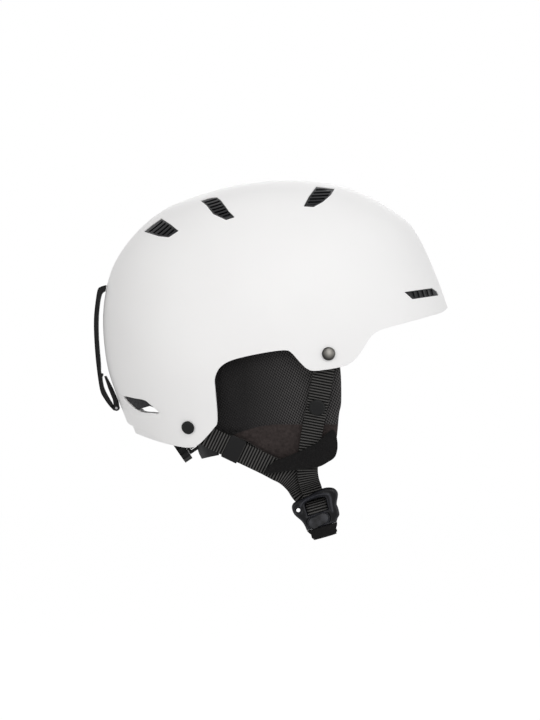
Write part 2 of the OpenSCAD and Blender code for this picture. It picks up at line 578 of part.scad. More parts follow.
module fit_cradle() color("#151516") {
    at_dial() difference() {
        out_of_dial(0, 10.4) square([housing_h, housing_w], center = true);
        out_of_dial(2, 8.4) square([plate_h + 1.2, housing_w + 2], center = true);
        out_of_dial(-1, 9.4) circle(r = 2.2);
    }
    both() strip([dial_point([9.6, -17, -8]), dial_point([9.4, -24, -9]), all_at([[-47, -34, -111]])[0],
        all_at([[-41, -43, -109.5]])[0], all_at([[-34, -51, -108]])[0]],
        [for (i = [0 : 4]) unit([-0.35 + 0.06 * i, 0, 1])], 7.6, 1.1);
}
module nape_pad() color("#161617") at_dial() out_of_dial(10.7, 16) {
    square([18, 16], center = true);
    for (s = [-1, 1]) translate([0, 8 * s]) circle(r = 9);
}

shell();
eps_liner();
grille_crown_rear_right();
grille_crown_rear_left();
grille_crown_mid_right();
grille_crown_mid_left();
grille_crown_front_right();
grille_crown_front_left();
grille_brow_right();
grille_brow_left();
brow_pad();
crown_pad();
side_pad_right();
side_pad_left();
rear_pad();
goggle_clip_base();
goggle_clip_band();
goggle_clip_pin();
front_rivets();
rear_rivets();
rivet_washers();
front_web_right();
front_web_left();
rear_web_right();
rear_web_left();
snap_buttons();
snap_sockets();
strap_adjuster_right();
strap_adjuster_left();
buckle_female();
buckle_button();
buckle_male();
chin_strap();
chin_sleeve();
strap_keeper();
ear_pad_right();
ear_pad_left();
ear_band_right();
ear_band_left();
fit_band_right();
fit_band_left();
dial_pinion();
fit_dial();
fit_cradle();
nape_pad();
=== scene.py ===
import math

import bmesh
import bpy
import numpy as np
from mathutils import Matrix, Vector


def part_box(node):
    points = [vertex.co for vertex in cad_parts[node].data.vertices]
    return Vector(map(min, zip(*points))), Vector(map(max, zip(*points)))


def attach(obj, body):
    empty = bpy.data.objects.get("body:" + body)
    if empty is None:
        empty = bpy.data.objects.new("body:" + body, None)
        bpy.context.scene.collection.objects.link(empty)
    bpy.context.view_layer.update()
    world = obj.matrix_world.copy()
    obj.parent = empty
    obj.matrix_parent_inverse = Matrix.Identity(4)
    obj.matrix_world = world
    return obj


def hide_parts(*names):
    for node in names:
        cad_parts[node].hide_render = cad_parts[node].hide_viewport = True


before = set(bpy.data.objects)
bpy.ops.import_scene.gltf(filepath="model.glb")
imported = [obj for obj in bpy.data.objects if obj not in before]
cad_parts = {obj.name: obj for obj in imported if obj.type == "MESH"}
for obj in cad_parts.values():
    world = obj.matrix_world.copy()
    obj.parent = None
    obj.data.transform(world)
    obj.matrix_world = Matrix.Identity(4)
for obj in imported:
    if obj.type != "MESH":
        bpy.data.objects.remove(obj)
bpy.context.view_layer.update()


# ---- Camera, lamps and floor ----
# The helmet is seen square from its right side through a long lens, held in the air above a
# pale floor with its straps hanging. Soft lamps stand before it, above it and behind it.

VIEW_WIDTH = 0.432          # metres across the picture at the middle of the helmet
VIEW_CENTRE = Vector((0.008, 0.0, -0.040))
CAMERA_BACK = 6.0

camera_data = bpy.data.cameras.new("camera")
camera_data.sensor_fit = "HORIZONTAL"
camera_data.sensor_width = 36
camera_data.lens = 36 * CAMERA_BACK / VIEW_WIDTH
camera_data.clip_end = 50
camera = bpy.data.objects.new("camera", camera_data)
camera.location = VIEW_CENTRE + Vector((0, -CAMERA_BACK, 0))
camera.rotation_euler = (math.pi / 2, 0, 0)
bpy.context.scene.collection.objects.link(camera)
bpy.context.scene.camera = camera
bpy.context.scene.view_settings.view_transform = "Standard"


def area_lamp(name, place, aim, size, watts, colour=(1, 1, 1)):
    data = bpy.data.lights.new(name, "AREA")
    data.shape = "DISK"
    data.size = size
    data.energy = watts
    data.color = colour
    lamp = bpy.data.objects.new(name, data)
    lamp.location = place
    lamp.rotation_euler = (Vector(aim) - Vector(place)).to_track_quat("-Z", "Y").to_euler()
    bpy.context.scene.collection.objects.link(lamp)


area_lamp("key", (0.9, -2.4, 1.5), (0.02, 0, 0), 1.8, 24.5)
area_lamp("fill", (-1.5, -2.2, 0.5), (0, 0, 0), 1.6, 13, (1, 0.985, 0.96))
area_lamp("front", (2.4, -1.2, 0.2), (0, 0, 0), 1.4, 8)
area_lamp("top", (0.0, 0.4, 2.4), (0, 0, 0), 1.6, 8.5)
area_lamp("back", (0.2, 2.4, 0.9), (0, 0, 0), 1.4, 8)


class Shade:
    """An output socket of a node tree. Sums on it add Math nodes, and add() adds any other node."""

    def __init__(self, tree, socket):
        self.tree = tree
        self.socket = socket

    def add(self, kind, settings=None, inputs=None, out=0):
        node = self.tree.nodes.new(kind)
        for name, value in (settings or {}).items():
            if name == "stops":
                ramp = node.color_ramp
                for place, level in value[1:-1]:
                    ramp.elements.new(place)
                for stop, (place, level) in zip(ramp.elements, value):
                    stop.position = place
                    stop.color = (level, level, level, 1) if isinstance(level, (int, float)) else level
            else:
                setattr(node, name, value)
        for name, value in (inputs or {}).items():
            if isinstance(value, Shade):
                self.tree.links.new(value.socket, node.inputs[name])
            else:
                node.inputs[name].default_value = value
        return Shade(self.tree, node.outputs[out])

    def sum(self, operation, a, b=None, clamp=False):
        inputs = {0: a} if b is None else {0: a, 1: b}
        return self.add("ShaderNodeMath", {"operation": operation, "use_clamp": clamp}, inputs)

    def __add__(self, other):
        return self.sum("ADD", self, other)

    __radd__ = __add__

    def __sub__(self, other):
        return self.sum("SUBTRACT", self, other)

    def __rsub__(self, other):
        return self.sum("SUBTRACT", other, self)

    def __mul__(self, other):
        return self.sum("MULTIPLY", self, other)

    __rmul__ = __mul__

    def power(self, other):
        return self.sum("POWER", self, other)

    def clamped(self):
        return self.sum("ADD", self, 0, clamp=True)

    def noise(self, scale, detail=3, roughness=0.55):
        return self.add("ShaderNodeTexNoise", {}, {"Vector": self, "Scale": scale,
            "Detail": detail, "Roughness": roughness})

    def mix(self, low, high):
        """Colour from low to high as this value goes from 0 to 1."""
        return self.add("ShaderNodeMix", {"data_type": "RGBA"}, {0: self, 6: low, 7: high}, 2)

    def ramp(self, *stops):
        return self.add("ShaderNodeValToRGB", {"stops": stops}, {0: self})


def finish(name, settings):
    """A material with fixed shader settings; returns it, its shader node and its object space."""
    material = bpy.data.materials.new(name)
    material.use_nodes = True
    tree = material.node_tree
    shader = tree.nodes["Principled BSDF"]
    for socket, value in settings.items():
        shader.inputs[socket].default_value = value
    space = tree.nodes.new("ShaderNodeTexCoord")
    return material, shader, Shade(tree, space.outputs["Object"])


def drive(shader, **values):
    """Links values to a shader's sockets, with underscores for spaces."""
    for name, value in values.items():
        value.tree.links.new(value.socket, shader.inputs[name.replace("_", " ")])


def bumped(height, strength, distance):
    return height.add("ShaderNodeBump", {}, {"Height": height, "Strength": strength,
        "Distance": distance})


def seen_directly(tree):
    """1 for rays from the camera, off gloss and through glass, 0 for light on its way to a surface."""
    path = tree.nodes.new("ShaderNodeLightPath")
    camera_ray, glossy, through = (Shade(tree, path.outputs[name]) for name in
        ("Is Camera Ray", "Is Glossy Ray", "Is Transmission Ray"))
    return (camera_ray + glossy + through).clamped()


def pale_floor(name):
    """Pale lit floor that looks white wherever the helmet doesn't shade it."""
    material = finish(name, {"Base Color": (0.86, 0.86, 0.86, 1), "Roughness": 0.9})[0]
    tree = material.node_tree
    glow = tree.nodes.new("ShaderNodeEmission")
    glow.inputs["Strength"].default_value = 1.06
    lit = tree.nodes["Principled BSDF"].outputs[0]
    faint = tree.nodes.new("ShaderNodeMixShader")
    faint.inputs[0].default_value = 0.9
    tree.links.new(lit, faint.inputs[1])
    tree.links.new(glow.outputs[0], faint.inputs[2])
    blend = tree.nodes.new("ShaderNodeMixShader")
    tree.links.new(seen_directly(tree).socket, blend.inputs[0])
    tree.links.new(lit, blend.inputs[1])
    tree.links.new(faint.outputs[0], blend.inputs[2])
    tree.links.new(blend.outputs[0], tree.nodes["Material Output"].inputs["Surface"])
    return material


FLOOR_LEVEL = -0.372
bpy.ops.mesh.primitive_plane_add(size=14, location=(0, 3, FLOOR_LEVEL))
floor = bpy.context.object
floor.name = "floor"
floor.data.materials.append(pale_floor("floor_white"))

world = bpy.data.worlds.new("studio")
world.use_nodes = True
soft_light = world.node_tree.nodes["Background"]
soft_light.inputs["Color"].default_value = (1, 1, 1, 1)
soft_light.inputs["Strength"].default_value = 0.45
seen = world.node_tree.nodes.new("ShaderNodeBackground")
seen.inputs["Color"].default_value = (1, 1, 1, 1)
seen.inputs["Strength"].default_value = 1.0
pick = world.node_tree.nodes.new("ShaderNodeMixShader")
world.node_tree.links.new(seen_directly(world.node_tree).socket, pick.inputs[0])
world.node_tree.links.new(soft_light.outputs[0], pick.inputs[1])
world.node_tree.links.new(seen.outputs[0], pick.inputs[2])
world.node_tree.links.new(pick.outputs[0], world.node_tree.nodes["World Output"].inputs[0])
bpy.context.scene.world = world


# ---- Shell ----
# One injection-moulded ABS shell in matt off-white, about 2.5 mm thick, with cut vents, a lip
# under the nape vents and a folded band round the nape. It is sprayed with a soft matt lacquer.

MM = 0.001
SQUARENESS = 2.3
SHELL_T = 2.5
LINER_GAP = 0.3
CROWN_GAP = 4

# Level, front reach, rear reach, widest station and half width, from crown to skirt
SKIN = np.array([[104, 22, 22, 22, 0], [102.4, 48, -3.2, 21, 22.5], [97.8, 69, -28.5, 18, 41],
    [91.5, 86, -49, 14, 54], [84, 99.5, -69, 10, 65], [75.5, 112, -83.5, 6, 74],
    [68.6, 119.8, -92, 4, 80], [60, 125.8, -100.5, 2, 86], [48, 132, -110, 0, 92.5],
    [33, 138.6, -118.2, -2, 98.3], [16, 145.2, -123, -4, 103], [-4, 151.5, -125.4, -5, 105.6],
    [-26, 154, -124.6, -6, 106], [-48, 152, -121.2, -7, 104], [-68, 146, -114.6, -8, 99.5],
    [-86, 138, -107.6, -10, 94], [-104, 128, -100.5, -12, 88], [-120, 118, -94, -14, 82]], float)
CAVITY = np.array([[77, 15, 15, 15, 0], [75.5, 36, -7, 14, 19], [70, 58, -32, 12, 38],
    [61, 77, -52, 9, 54], [48, 92, -70, 6, 67], [31, 103, -84, 4, 76], [10, 109, -94, 2, 81],
    [-15, 112, -98, 0, 83], [-45, 110, -95, -2, 82], [-75, 104, -86, -4, 76],
    [-120, 95, -74, -6, 68]], float)


def level(rows, t):
    before = rows[1, [0, 2, 1, 3, 4]] * [1, 1, 1, 1, -1]
    padded = np.vstack([before, rows, 2 * rows[-1] - rows[-2]])
    padded = np.vstack([padded, 2 * padded[-1] - padded[-2]])
    i = np.clip(np.floor(t).astype(int), 0, len(rows) - 1)
    f = (t - i)[:, None]
    a, b, c, d = (padded[i + k] for k in range(4))
    return (2 * b + (c - a) * f + (2 * a - 5 * b + 4 * c - d) * f ** 2
            + (3 * b - a - 3 * c + d) * f ** 3) / 2


def on_body(rows, t, turn):
    r = level(rows, t)
    c, s = np.cos(turn), np.sin(turn)
    q = (np.abs(c) ** SQUARENESS + np.abs(s) ** SQUARENESS) ** (-1 / SQUARENESS)
    reach = np.where(c > 0, r[:, 1] - r[:, 3], r[:, 3] - r[:, 2])
    return np.stack([r[:, 3] + reach * q * c, r[:, 4] * q * s, r[:, 0]], 1)


def outward(rows, t, turn):
    t = np.maximum(t, 0.03)
    down = on_body(rows, t + 0.02, turn) - on_body(rows, t - 0.02, turn)
    across = on_body(rows, t, turn + 0.02) - on_body(rows, t, turn - 0.02)
    n = np.cross(down, across)
    return n / np.linalg.norm(n, axis=1)[:, None]


def smooth_line(points, closed=False, steps=6):
    """Points of a smooth curve through the given ones."""
    p = np.array(points, float)
    n = len(p)
    out = []
    for i in range(n if closed else n - 1):
        if closed:
            a, b, c, d = p[i - 1], p[i], p[(i + 1) % n], p[(i + 2) % n]
        else:
            a, b, c, d = p[max(i - 1, 0)], p[i], p[i + 1], p[min(i + 2, n - 1)]
        for f in np.linspace(0, 1, steps, endpoint=False):
            out.append((2 * b + (c - a) * f + (2 * a - 5 * b + 4 * c - d) * f * f
                        + (3 * b - a - 3 * c + d) * f ** 3) / 2)
    if not closed:
        out.append(p[-1])
    return np.array(out)


def inside_distance(points, outline):
    """Distance to a closed outline, positive inside it."""
    a = np.asarray(outline, float)
    b = np.roll(a, -1, axis=0)
    best = np.full(len(points), 1e9)
    winding = np.zeros(len(points), bool)
    for (ax, az), (bx, bz) in zip(a, b):
        e = np.array([bx - ax, bz - az])
        w = points - [ax, az]
        k = np.clip((w @ e) / max(e @ e, 1e-12), 0, 1)
        best = np.minimum(best, np.hypot(*(w - k[:, None] * e).T))
        cross = (az > points[:, 1]) != (bz > points[:, 1])
        with np.errstate(divide="ignore", invalid="ignore"):
            hit = points[:, 0] < (bx - ax) * (points[:, 1] - az) / (bz - az + 1e-30) + ax
        winding ^= cross & hit
    return np.where(winding, best, -best)


def smooth_step(x, low, high):
    f = np.clip((x - low) / (high - low), 0, 1)
    return f * f * (3 - 2 * f)


RIM = smooth_line([(-100.6, -97.9), (-84, -103.5), (-68.5, -107.5), (-56.2, -109.2), (-48.1, -106.6),
    (-36.8, -94.4), (-33.6, -87.6), (-35.2, -63.7), (-35.6, -54.9), (-31.8, -46.4), (-22.3, -40.3),
    (-0.9, -35.1), (18.9, -32.3), (24.8, -34.3), (33.4, -43.7), (40.3, -48.4), (52, -47.6),
    (64.3, -45.4), (70.4, -43.2), (76.8, -37.6), (86.4, -23.2), (91.2, -18.4), (100, -14.8),
    (124.8, -8), (144, -2.4), (150.4, 2.4)])
ABOVE_RIM = np.vstack([[(-200, -97.9)], RIM, [(200, 2.4), (200, 200), (-200, 200)]])
REAR_VENT = [(-78.6, 72.8), (-71.2, 67.9), (-64.2, 62.2), (-72.1, 57), (-80.2, 58), (-92.8, 62.2),
    (-85.6, 68)]
MID_VENT = [(-47.4, 86.8), (-41, 88.9), (-34.6, 89.7), (-31, 86.9), (-24.4, 77.7), (-19.7, 72.8),
    (-26.7, 70.6), (-36.9, 75.4), (-42.2, 82.3)]
FRONT_VENT = [(44.9, 98.3), (59.8, 96.6), (56.1, 90.8), (49.9, 85.2), (42.6, 81), (34.4, 81.5),
    (38.7, 89.7)]
BROW_VENT = [(114.2, 13.8), (137.1, 17.2), (140.9, 14.6), (142.6, 11.5), (120.7, 8.1)]
NAPE_VENT = smooth_line([(-108.7, -68.9), (-100, -70.2), (-91.5, -71.8), (-87, -75), (-79.5, -81.9),
    (-86, -81.9), (-92.6, -81.5), (-97.9, -79.4), (-103.3, -75.1)], closed=True, steps=4)
NAPE_LIP = smooth_line([(-114.5, -64.5), (-108.7, -67.6), (-91.5, -70.6), (-86.2, -74.2),
    (-75.5, -83.6), (-84, -85.2), (-92.6, -86.2), (-100, -85), (-107, -80.5), (-112.5, -74)],
    closed=True, steps=4)


def pressed_in(points):
    """How far the moulding steps in, in millimetres: the lip below the nape vent and the band
    folded round the nape."""
    flat = points[:, [0, 2]]
    lip = 2.2 * smooth_step(inside_distance(flat, NAPE_LIP), 0, 5) * smooth_step(
        (-flat[:, 1] - 64) - 0.32 * (flat[:, 0] + 110), -1, 5)
    crease = -89.5 - (flat[:, 0] + 107) * 0.47
    fade = 1 - smooth_step(flat[:, 0], -98, -68)
    band = 3.0 * smooth_step(crease - flat[:, 1], 0, 3.5) * fade
    return lip + band


def shape_mesh(name, points, faces):
    mesh = bpy.data.meshes.new(name)
    mesh.from_pydata([tuple(p) for p in points * MM], [], faces)
    obj = bpy.data.objects.new(name, mesh)
    bpy.context.scene.collection.objects.link(obj)
    return obj


def body_sheet(rows, depth, rings, sides, t_range=None, turn_range=None):
    """Grid on a rounded body: points, faces, and each point's outward direction."""
    low, high = t_range or (0, len(rows) - 1)
    whole = turn_range is None
    turns = np.linspace(0, 2 * math.pi, sides, endpoint=False) if whole else np.linspace(
        *turn_range, sides)
    ts = np.linspace(low, high, rings + 1)
    if low == 0:
        ts = ts[1:]
    t, turn = (g.ravel() for g in np.meshgrid(ts, turns, indexing="ij"))
    n = outward(rows, t, turn)
    points = on_body(rows, t, turn) - n * depth
    faces = []
    for i in range(len(ts) - 1):
        for j in range(sides if whole else sides - 1):
            k = (j + 1) % sides
            faces.append((i * sides + j, i * sides + k, (i + 1) * sides + k, (i + 1) * sides + j)[::-1])
    if low == 0:
        top = level(rows, np.array([0.0]))[0]
        points = np.vstack([points, [(top[3], 0, top[0] - depth)]])
        n = np.vstack([n, [(0, 0, 1)]])
        faces += [(len(points) - 1, j, (j + 1) % sides) for j in range(sides)]
    return points, faces, n


def trimmed(mesh, field, fine=None):
    """Cuts a mesh along the line where field is 0 and keeps the side where it is positive."""
    bm = bmesh.new()
    bm.from_mesh(mesh)
    if fine is not None:
        spots = fine(np.array([v.co[:] for v in bm.verts]) / MM)
        edges = [e for e in bm.edges if spots[e.verts[0].index] and spots[e.verts[1].index]]
        bmesh.ops.subdivide_edges(bm, edges=edges, cuts=2, use_grid_fill=True)
    bm.verts.ensure_lookup_table()
    values = dict(zip(bm.verts, field(np.array([v.co[:] for v in bm.verts]) / MM)))
    cut = set()
    for edge in list(bm.edges):
        a, b = edge.verts
        fa, fb = values[a], values[b]
        if fa * fb < 0:
            share = min(max(fa / (fa - fb), 0.02), 0.98)
            new = bmesh.utils.edge_split(edge, a, share)[1]
            values[new] = 0.0
            cut.add(new)
    for face in list(bm.faces):
        on_line = [v for v in face.verts if v in cut]
        if len(on_line) == 2:
            try:
                bmesh.utils.face_split(face, on_line[0], on_line[1])
            except ValueError:
                pass
    out = [f for f in bm.faces if sum(values[v] for v in f.verts) < 0]
    bmesh.ops.delete(bm, geom=out, context="FACES")
    bmesh.ops.remove_doubles(bm, verts=bm.verts, dist=0.04 * MM)
    bmesh.ops.dissolve_degenerate(bm, edges=bm.edges, dist=0.01 * MM)
    bm.to_mesh(mesh)
    bm.free()


def apply_modifiers(obj):
    """Puts the result of an object's modifiers into its mesh."""
    graph = bpy.context.evaluated_depsgraph_get()
    mesh = bpy.data.meshes.new_from_object(obj.evaluated_get(graph))
    obj.modifiers.clear()
    old = obj.data
    obj.data = mesh
    bpy.data.meshes.remove(old)


def smooth(obj, angle=35):
    obj.data.shade_smooth()
    obj.data.set_sharp_from_angle(angle=math.radians(angle))


def bevelled(obj, width, angle, segments):
    """Rounds every edge sharper than an angle in degrees, by a width in millimetres."""
    rounding = obj.modifiers.new("edge", "BEVEL")
    rounding.width = width * MM
    rounding.segments = segments
    rounding.limit_method = "ANGLE"
    rounding.angle_limit = math.radians(angle)
    rounding.use_clamp_overlap = True


def thicken(obj, thickness, edge_round):
    """Adds a wall inward and rounds its edges."""
    wall = obj.modifiers.new("wall", "SOLIDIFY")
    wall.thickness = thickness * MM
    wall.offset = -1
    bevelled(obj, edge_round, 50, 2)
    apply_modifiers(obj)


def shell_field(points):
    flat = points[:, [0, 2]]
    keep = inside_distance(flat, ABOVE_RIM)
    side = np.abs(points[:, 1]) - CROWN_GAP
    for vent in (REAR_VENT, MID_VENT, FRONT_VENT, BROW_VENT, NAPE_VENT):
        keep = np.minimum(keep, -np.minimum(inside_distance(flat, vent), side))
    return keep


def near_vents(points):
    flat = points[:, [0, 2]]
    return np.any([inside_distance(flat, v) > -2.5
                   for v in (REAR_VENT, MID_VENT, FRONT_VENT, BROW_VENT, NAPE_VENT)], axis=0)


points, faces, normals = body_sheet(SKIN, 0, 150, 280)
shell = shape_mesh("white_shell", points - normals * pressed_in(points)[:, None], faces)
trimmed(shell.data, shell_field, near_vents)
thicken(shell, SHELL_T, 0.8)
smooth(shell, 40)

lacquer, shader, space = finish("matt_white_lacquer", {"Roughness": 0.5, "Specular IOR Level": 0.35,
    "Coat Weight": 0.08, "Coat Roughness": 0.45})
cloud = space.noise(9, 3).ramp((0.35, 0.0), (0.7, 1.0))
grain = space.noise(1400, 2, 0.6)
orange_peel = space.noise(260, 2, 0.5)
drive(shader, Base_Color=cloud.mix((0.868, 0.862, 0.862, 1), (0.892, 0.888, 0.886, 1)),
      Roughness=0.47 + 0.1 * grain, Normal=bumped(grain + 1.5 * orange_peel, 0.10, 0.0002))
shell.data.materials.append(lacquer)
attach(shell, "helmet")
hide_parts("shell")


# ---- Vent grilles ----
# Eight black moulded inserts snap into the shell's vents from inside. Each is a thin frame with
# slanted louvre blades across it, sunk a little below the skin.

GRILLE_SINK = 0.7
GRILLE_T = 1.8
GRILLE_SLOT = 1.25

grille_plastic, shader, space = finish("grille_plastic", {"Roughness": 0.34,
    "Specular IOR Level": 0.22})
speck = space.noise(900, 2)
drive(shader, Base_Color=space.noise(60, 2).mix((0.0035, 0.0036, 0.0045, 1), (0.010, 0.0103, 0.012, 1)),
      Roughness=0.30 + 0.12 * speck, Normal=bumped(speck, 0.12, 0.0001))


def shrink(outline, share):
    outline = np.asarray(outline, float)
    middle = outline.mean(axis=0)
    return middle + (outline - middle) * share


def vent_grille(name, outline, slant, pitch, bend, tilt):
    """Louvred insert: its blades run along the slant, bow by bend and tip by tilt."""
    frame_line = shrink(outline, 0.955)
    slot_line = shrink(outline, 0.80)
    middle = slot_line.mean(axis=0)
    along = np.array([math.sin(math.radians(-slant)), math.cos(math.radians(-slant))])
    stack = np.array([along[1], -along[0]])

    def blade_place(flat):
        off = flat - middle
        return (off @ stack) + bend * (off @ along) ** 2 * 0.01

    def keep(points):
        flat = points[:, [0, 2]]
        place = (blade_place(flat) / pitch) % 1.0
        slot = GRILLE_SLOT / 2 - np.abs(place - 0.5) * pitch
        hole = np.minimum(inside_distance(flat, slot_line), slot)
        return np.minimum(np.minimum(inside_distance(flat, frame_line), -hole),
                          -points[:, 1] - CROWN_GAP)

    low, high = frame_line.min(axis=0) - 1.5, frame_line.max(axis=0) + 1.5
    scan_t, scan_turn = np.meshgrid(np.linspace(0.2, 12, 500), np.linspace(math.pi, 2 * math.pi, 700),
        indexing="ij")
    spots = on_body(SKIN, scan_t.ravel(), scan_turn.ravel())
    near = np.all((spots[:, [0, 2]] > low) & (spots[:, [0, 2]] < high), axis=1) & (spots[:, 1] < -2)
    ts, turns = scan_t.ravel()[near], scan_turn.ravel()[near]
    rings = int((ts.max() - ts.min()) * 26) + 40
    points, faces, n = body_sheet(SKIN, 0, rings, 150, (ts.min(), ts.max()),
        (turns.min(), turns.max()))
    flat = points[:, [0, 2]]
    place = (blade_place(flat) / pitch) % 1.0
    inner = smooth_step(inside_distance(flat, slot_line), -0.3, 0.4)
    edge = smooth_step(inside_distance(flat, frame_line), -0.2, 1.1)
    saw = np.where(place < 0.5, place + 0.5, place - 0.5) - 0.5
    depth = GRILLE_SINK + 0.25 * edge + inner * (0.25 + tilt * saw)
    grille = shape_mesh(name, points - n * depth[:, None], faces)
    trimmed(grille.data, keep)
    thicken(grille, GRILLE_T * 0.75, 0.14)
    smooth(grille, 45)
    grille.data.materials.append(grille_plastic)
    return grille


def mirrored(obj, name):
    """A copy on the wearer's other side."""
    twin = obj.copy()
    twin.data = obj.data.copy()
    twin.name = name
    bm = bmesh.new()
    bm.from_mesh(twin.data)
    for vertex in bm.verts:
        vertex.co.y = -vertex.co.y
    bmesh.ops.reverse_faces(bm, faces=bm.faces)
    bm.to_mesh(twin.data)
    bm.free()
    bpy.context.scene.collection.objects.link(twin)
    return twin


def pair(obj, name, node, body):
    """Mirrors a right-hand piece into a twin, attaches both to a body and hides the CAD node each stands
    for.
    """
    twin = mirrored(obj, name + "_left")
    for piece, side in ((obj, "right"), (twin, "left")):
        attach(piece, body)
        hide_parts(node + "_" + side)
    return obj, twin


for spot, outline, slant, pitch, bend, tilt in (("crown_rear", REAR_VENT, -50, 2.9, 0.5, 0.9),
        ("crown_mid", MID_VENT, -72, 2.6, 0.3, 0.9), ("crown_front", FRONT_VENT, -87, 2.5, 0.2, 1.1),
        ("brow", BROW_VENT, 16, 3.8, 0, 0.6)):
    pair(vent_grille("louvres_" + spot, outline, slant, pitch, bend, tilt), "louvres_" + spot,
         "grille_" + spot, "helmet")


# ---- Liner ----
# One moulded block of black expanded-bead foam fills the shell. Its beads show on the inside and
# along the cut edges, and a narrower hole runs through it behind each grille.

def carried(node, material, edge_round=0, angle=32, segments=3):
    """Gives a CAD node its material, smooth shading and rounded edges."""
    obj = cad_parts[node]
    obj.data.materials.clear()
    obj.data.materials.append(material)
    normals = obj.data.attributes.get("custom_normal")
    if normals:
        obj.data.attributes.remove(normals)
    obj.data.shade_smooth()
    weld = obj.modifiers.new("weld", "WELD")
    weld.merge_threshold = 0.00001
    if edge_round:
        bevelled(obj, edge_round, angle, segments)
    split = obj.modifiers.new("crease", "EDGE_SPLIT")
    split.split_angle = math.radians(angle + 6)
    return obj


BEAD_SCALE = 300            # beads in a metre of foam
bead_foam, shader, space = finish("bead_foam", {"Roughness": 0.82, "Specular IOR Level": 0.3})
beads = space.add("ShaderNodeTexVoronoi", {"feature": "F1"}, {"Vector": space, "Scale": BEAD_SCALE})
bead_edge = space.add("ShaderNodeTexVoronoi", {"feature": "DISTANCE_TO_EDGE"},
    {"Vector": space, "Scale": BEAD_SCALE})
bead_gap = bead_edge.ramp((0.0, 0.0), (0.12, 1.0))
drive(shader, Base_Color=bead_gap.mix((0.010, 0.010, 0.011, 1), (0.026, 0.026, 0.028, 1)),
      Roughness=0.70 + 0.2 * space.noise(500, 2), Normal=bumped(bead_gap - 0.4 * beads, 0.35, 0.0004))
carried("eps_liner", bead_foam, 0.6, 40)


# ---- Comfort pads ----
# Five soft pads of thin foam in black brushed knit line the inside, laid against the foam liner.
# Each rises steeply from its edge, and the brow, rear and crown pads have two sewn channels.

COMFORT_T = 6
BROW_T = 8


def crowned(distance, reach, floor=0.14):
    """Rise of a cushion's face from its edge: steep at the seam, then flat."""
    f = np.clip(distance / reach, 0, 1)
    return floor + (1 - floor) * np.sqrt(1 - (1 - f) ** 2)


def bead_profile(gap, width):
    """Rounded profile across a bead or a groove: 1 in the middle, falling away over the width."""
    return np.exp(-(gap / width) ** 2)


def stuffed(obj, shift):
    """Closes a trimmed sheet into a cushion whose far face is moved by shift(points), in mm."""
    bm = bmesh.new()
    bm.from_mesh(obj.data)
    made = bmesh.ops.extrude_face_region(bm, geom=bm.faces[:], use_keep_orig=True)
    moved = [v for v in made["geom"] if isinstance(v, bmesh.types.BMVert)]
    shifts = shift(np.array([v.co[:] for v in moved]) / MM)
    for vertex, step in zip(moved, shifts):
        vertex.co += Vector(step) * MM
    bmesh.ops.recalc_face_normals(bm, faces=bm.faces)
    bm.to_mesh(obj.data)
    bm.free()


knit, shader, space = finish("brushed_knit", {"Roughness": 0.92, "Specular IOR Level": 0.08,
    "Sheen Weight": 0.05, "Sheen Roughness": 0.5, "Sheen Tint": (0.5, 0.5, 0.52, 1)})
loops = space.add("ShaderNodeTexVoronoi", {"feature": "F1"}, {"Vector": space, "Scale": 750})
nap = space.noise(220, 4)
drive(shader, Base_Color=(0.6 * nap + 0.5 * loops).mix((0.0040, 0.0039, 0.0041, 1),
      (0.0145, 0.0138, 0.0138, 1)), Roughness=0.85 + 0.12 * nap, Normal=bumped(loops + nap, 0.5, 0.0004))


def comfort_pad(name, node, field, thick, t_range, turn_range, channels=()):
    points, faces, n = body_sheet(CAVITY, LINER_GAP, 70, 170, t_range, turn_range)
    pad = shape_mesh(name, points, faces)
    trimmed(pad.data, field)

    def inward(spots):
        grid_t, grid_turn = np.meshgrid(np.linspace(*(t_range), 90), np.linspace(
            *(turn_range or (0, 2 * math.pi)), 160), indexing="ij")
        grid_t, grid_turn = grid_t.ravel(), grid_turn.ravel()
        surface = on_body(CAVITY, grid_t, grid_turn)
        facing = outward(CAVITY, grid_t, grid_turn)
        nearest = np.array([np.argmin(((surface - s) ** 2).sum(axis=1)) for s in spots])
        rise = thick * crowned(field(spots), thick * 1.1)
        for start, end in channels:
            start, end = np.array(start, float), np.array(end, float)
            k = np.clip((spots - start) @ (end - start) / ((end - start) @ (end - start)), 0, 1)
            gap = np.linalg.norm(spots - start - k[:, None] * (end - start), axis=1)
            rise *= 1 - 0.5 * bead_profile(gap, 2.2)
        return -facing[nearest] * rise[:, None]

    stuffed(pad, inward)
    smooth(pad, 60)
    pad.data.materials.append(knit)
    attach(pad, "helmet")
    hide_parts(node)


def side_field(outline, near=-1e3):
    def field(points):
        return np.minimum(inside_distance(points[:, [0, 2]], outline), -points[:, 1] - near)
    return field


def crown_field(points):
    off = np.abs(points[:, :2] - [12, 0])
    corner = (off.sum(axis=1) / math.sqrt(2))
    octagon = np.minimum(42.5 - off.max(axis=1), 42.5 - corner)
    return np.minimum(octagon, 29 - off[:, 1])


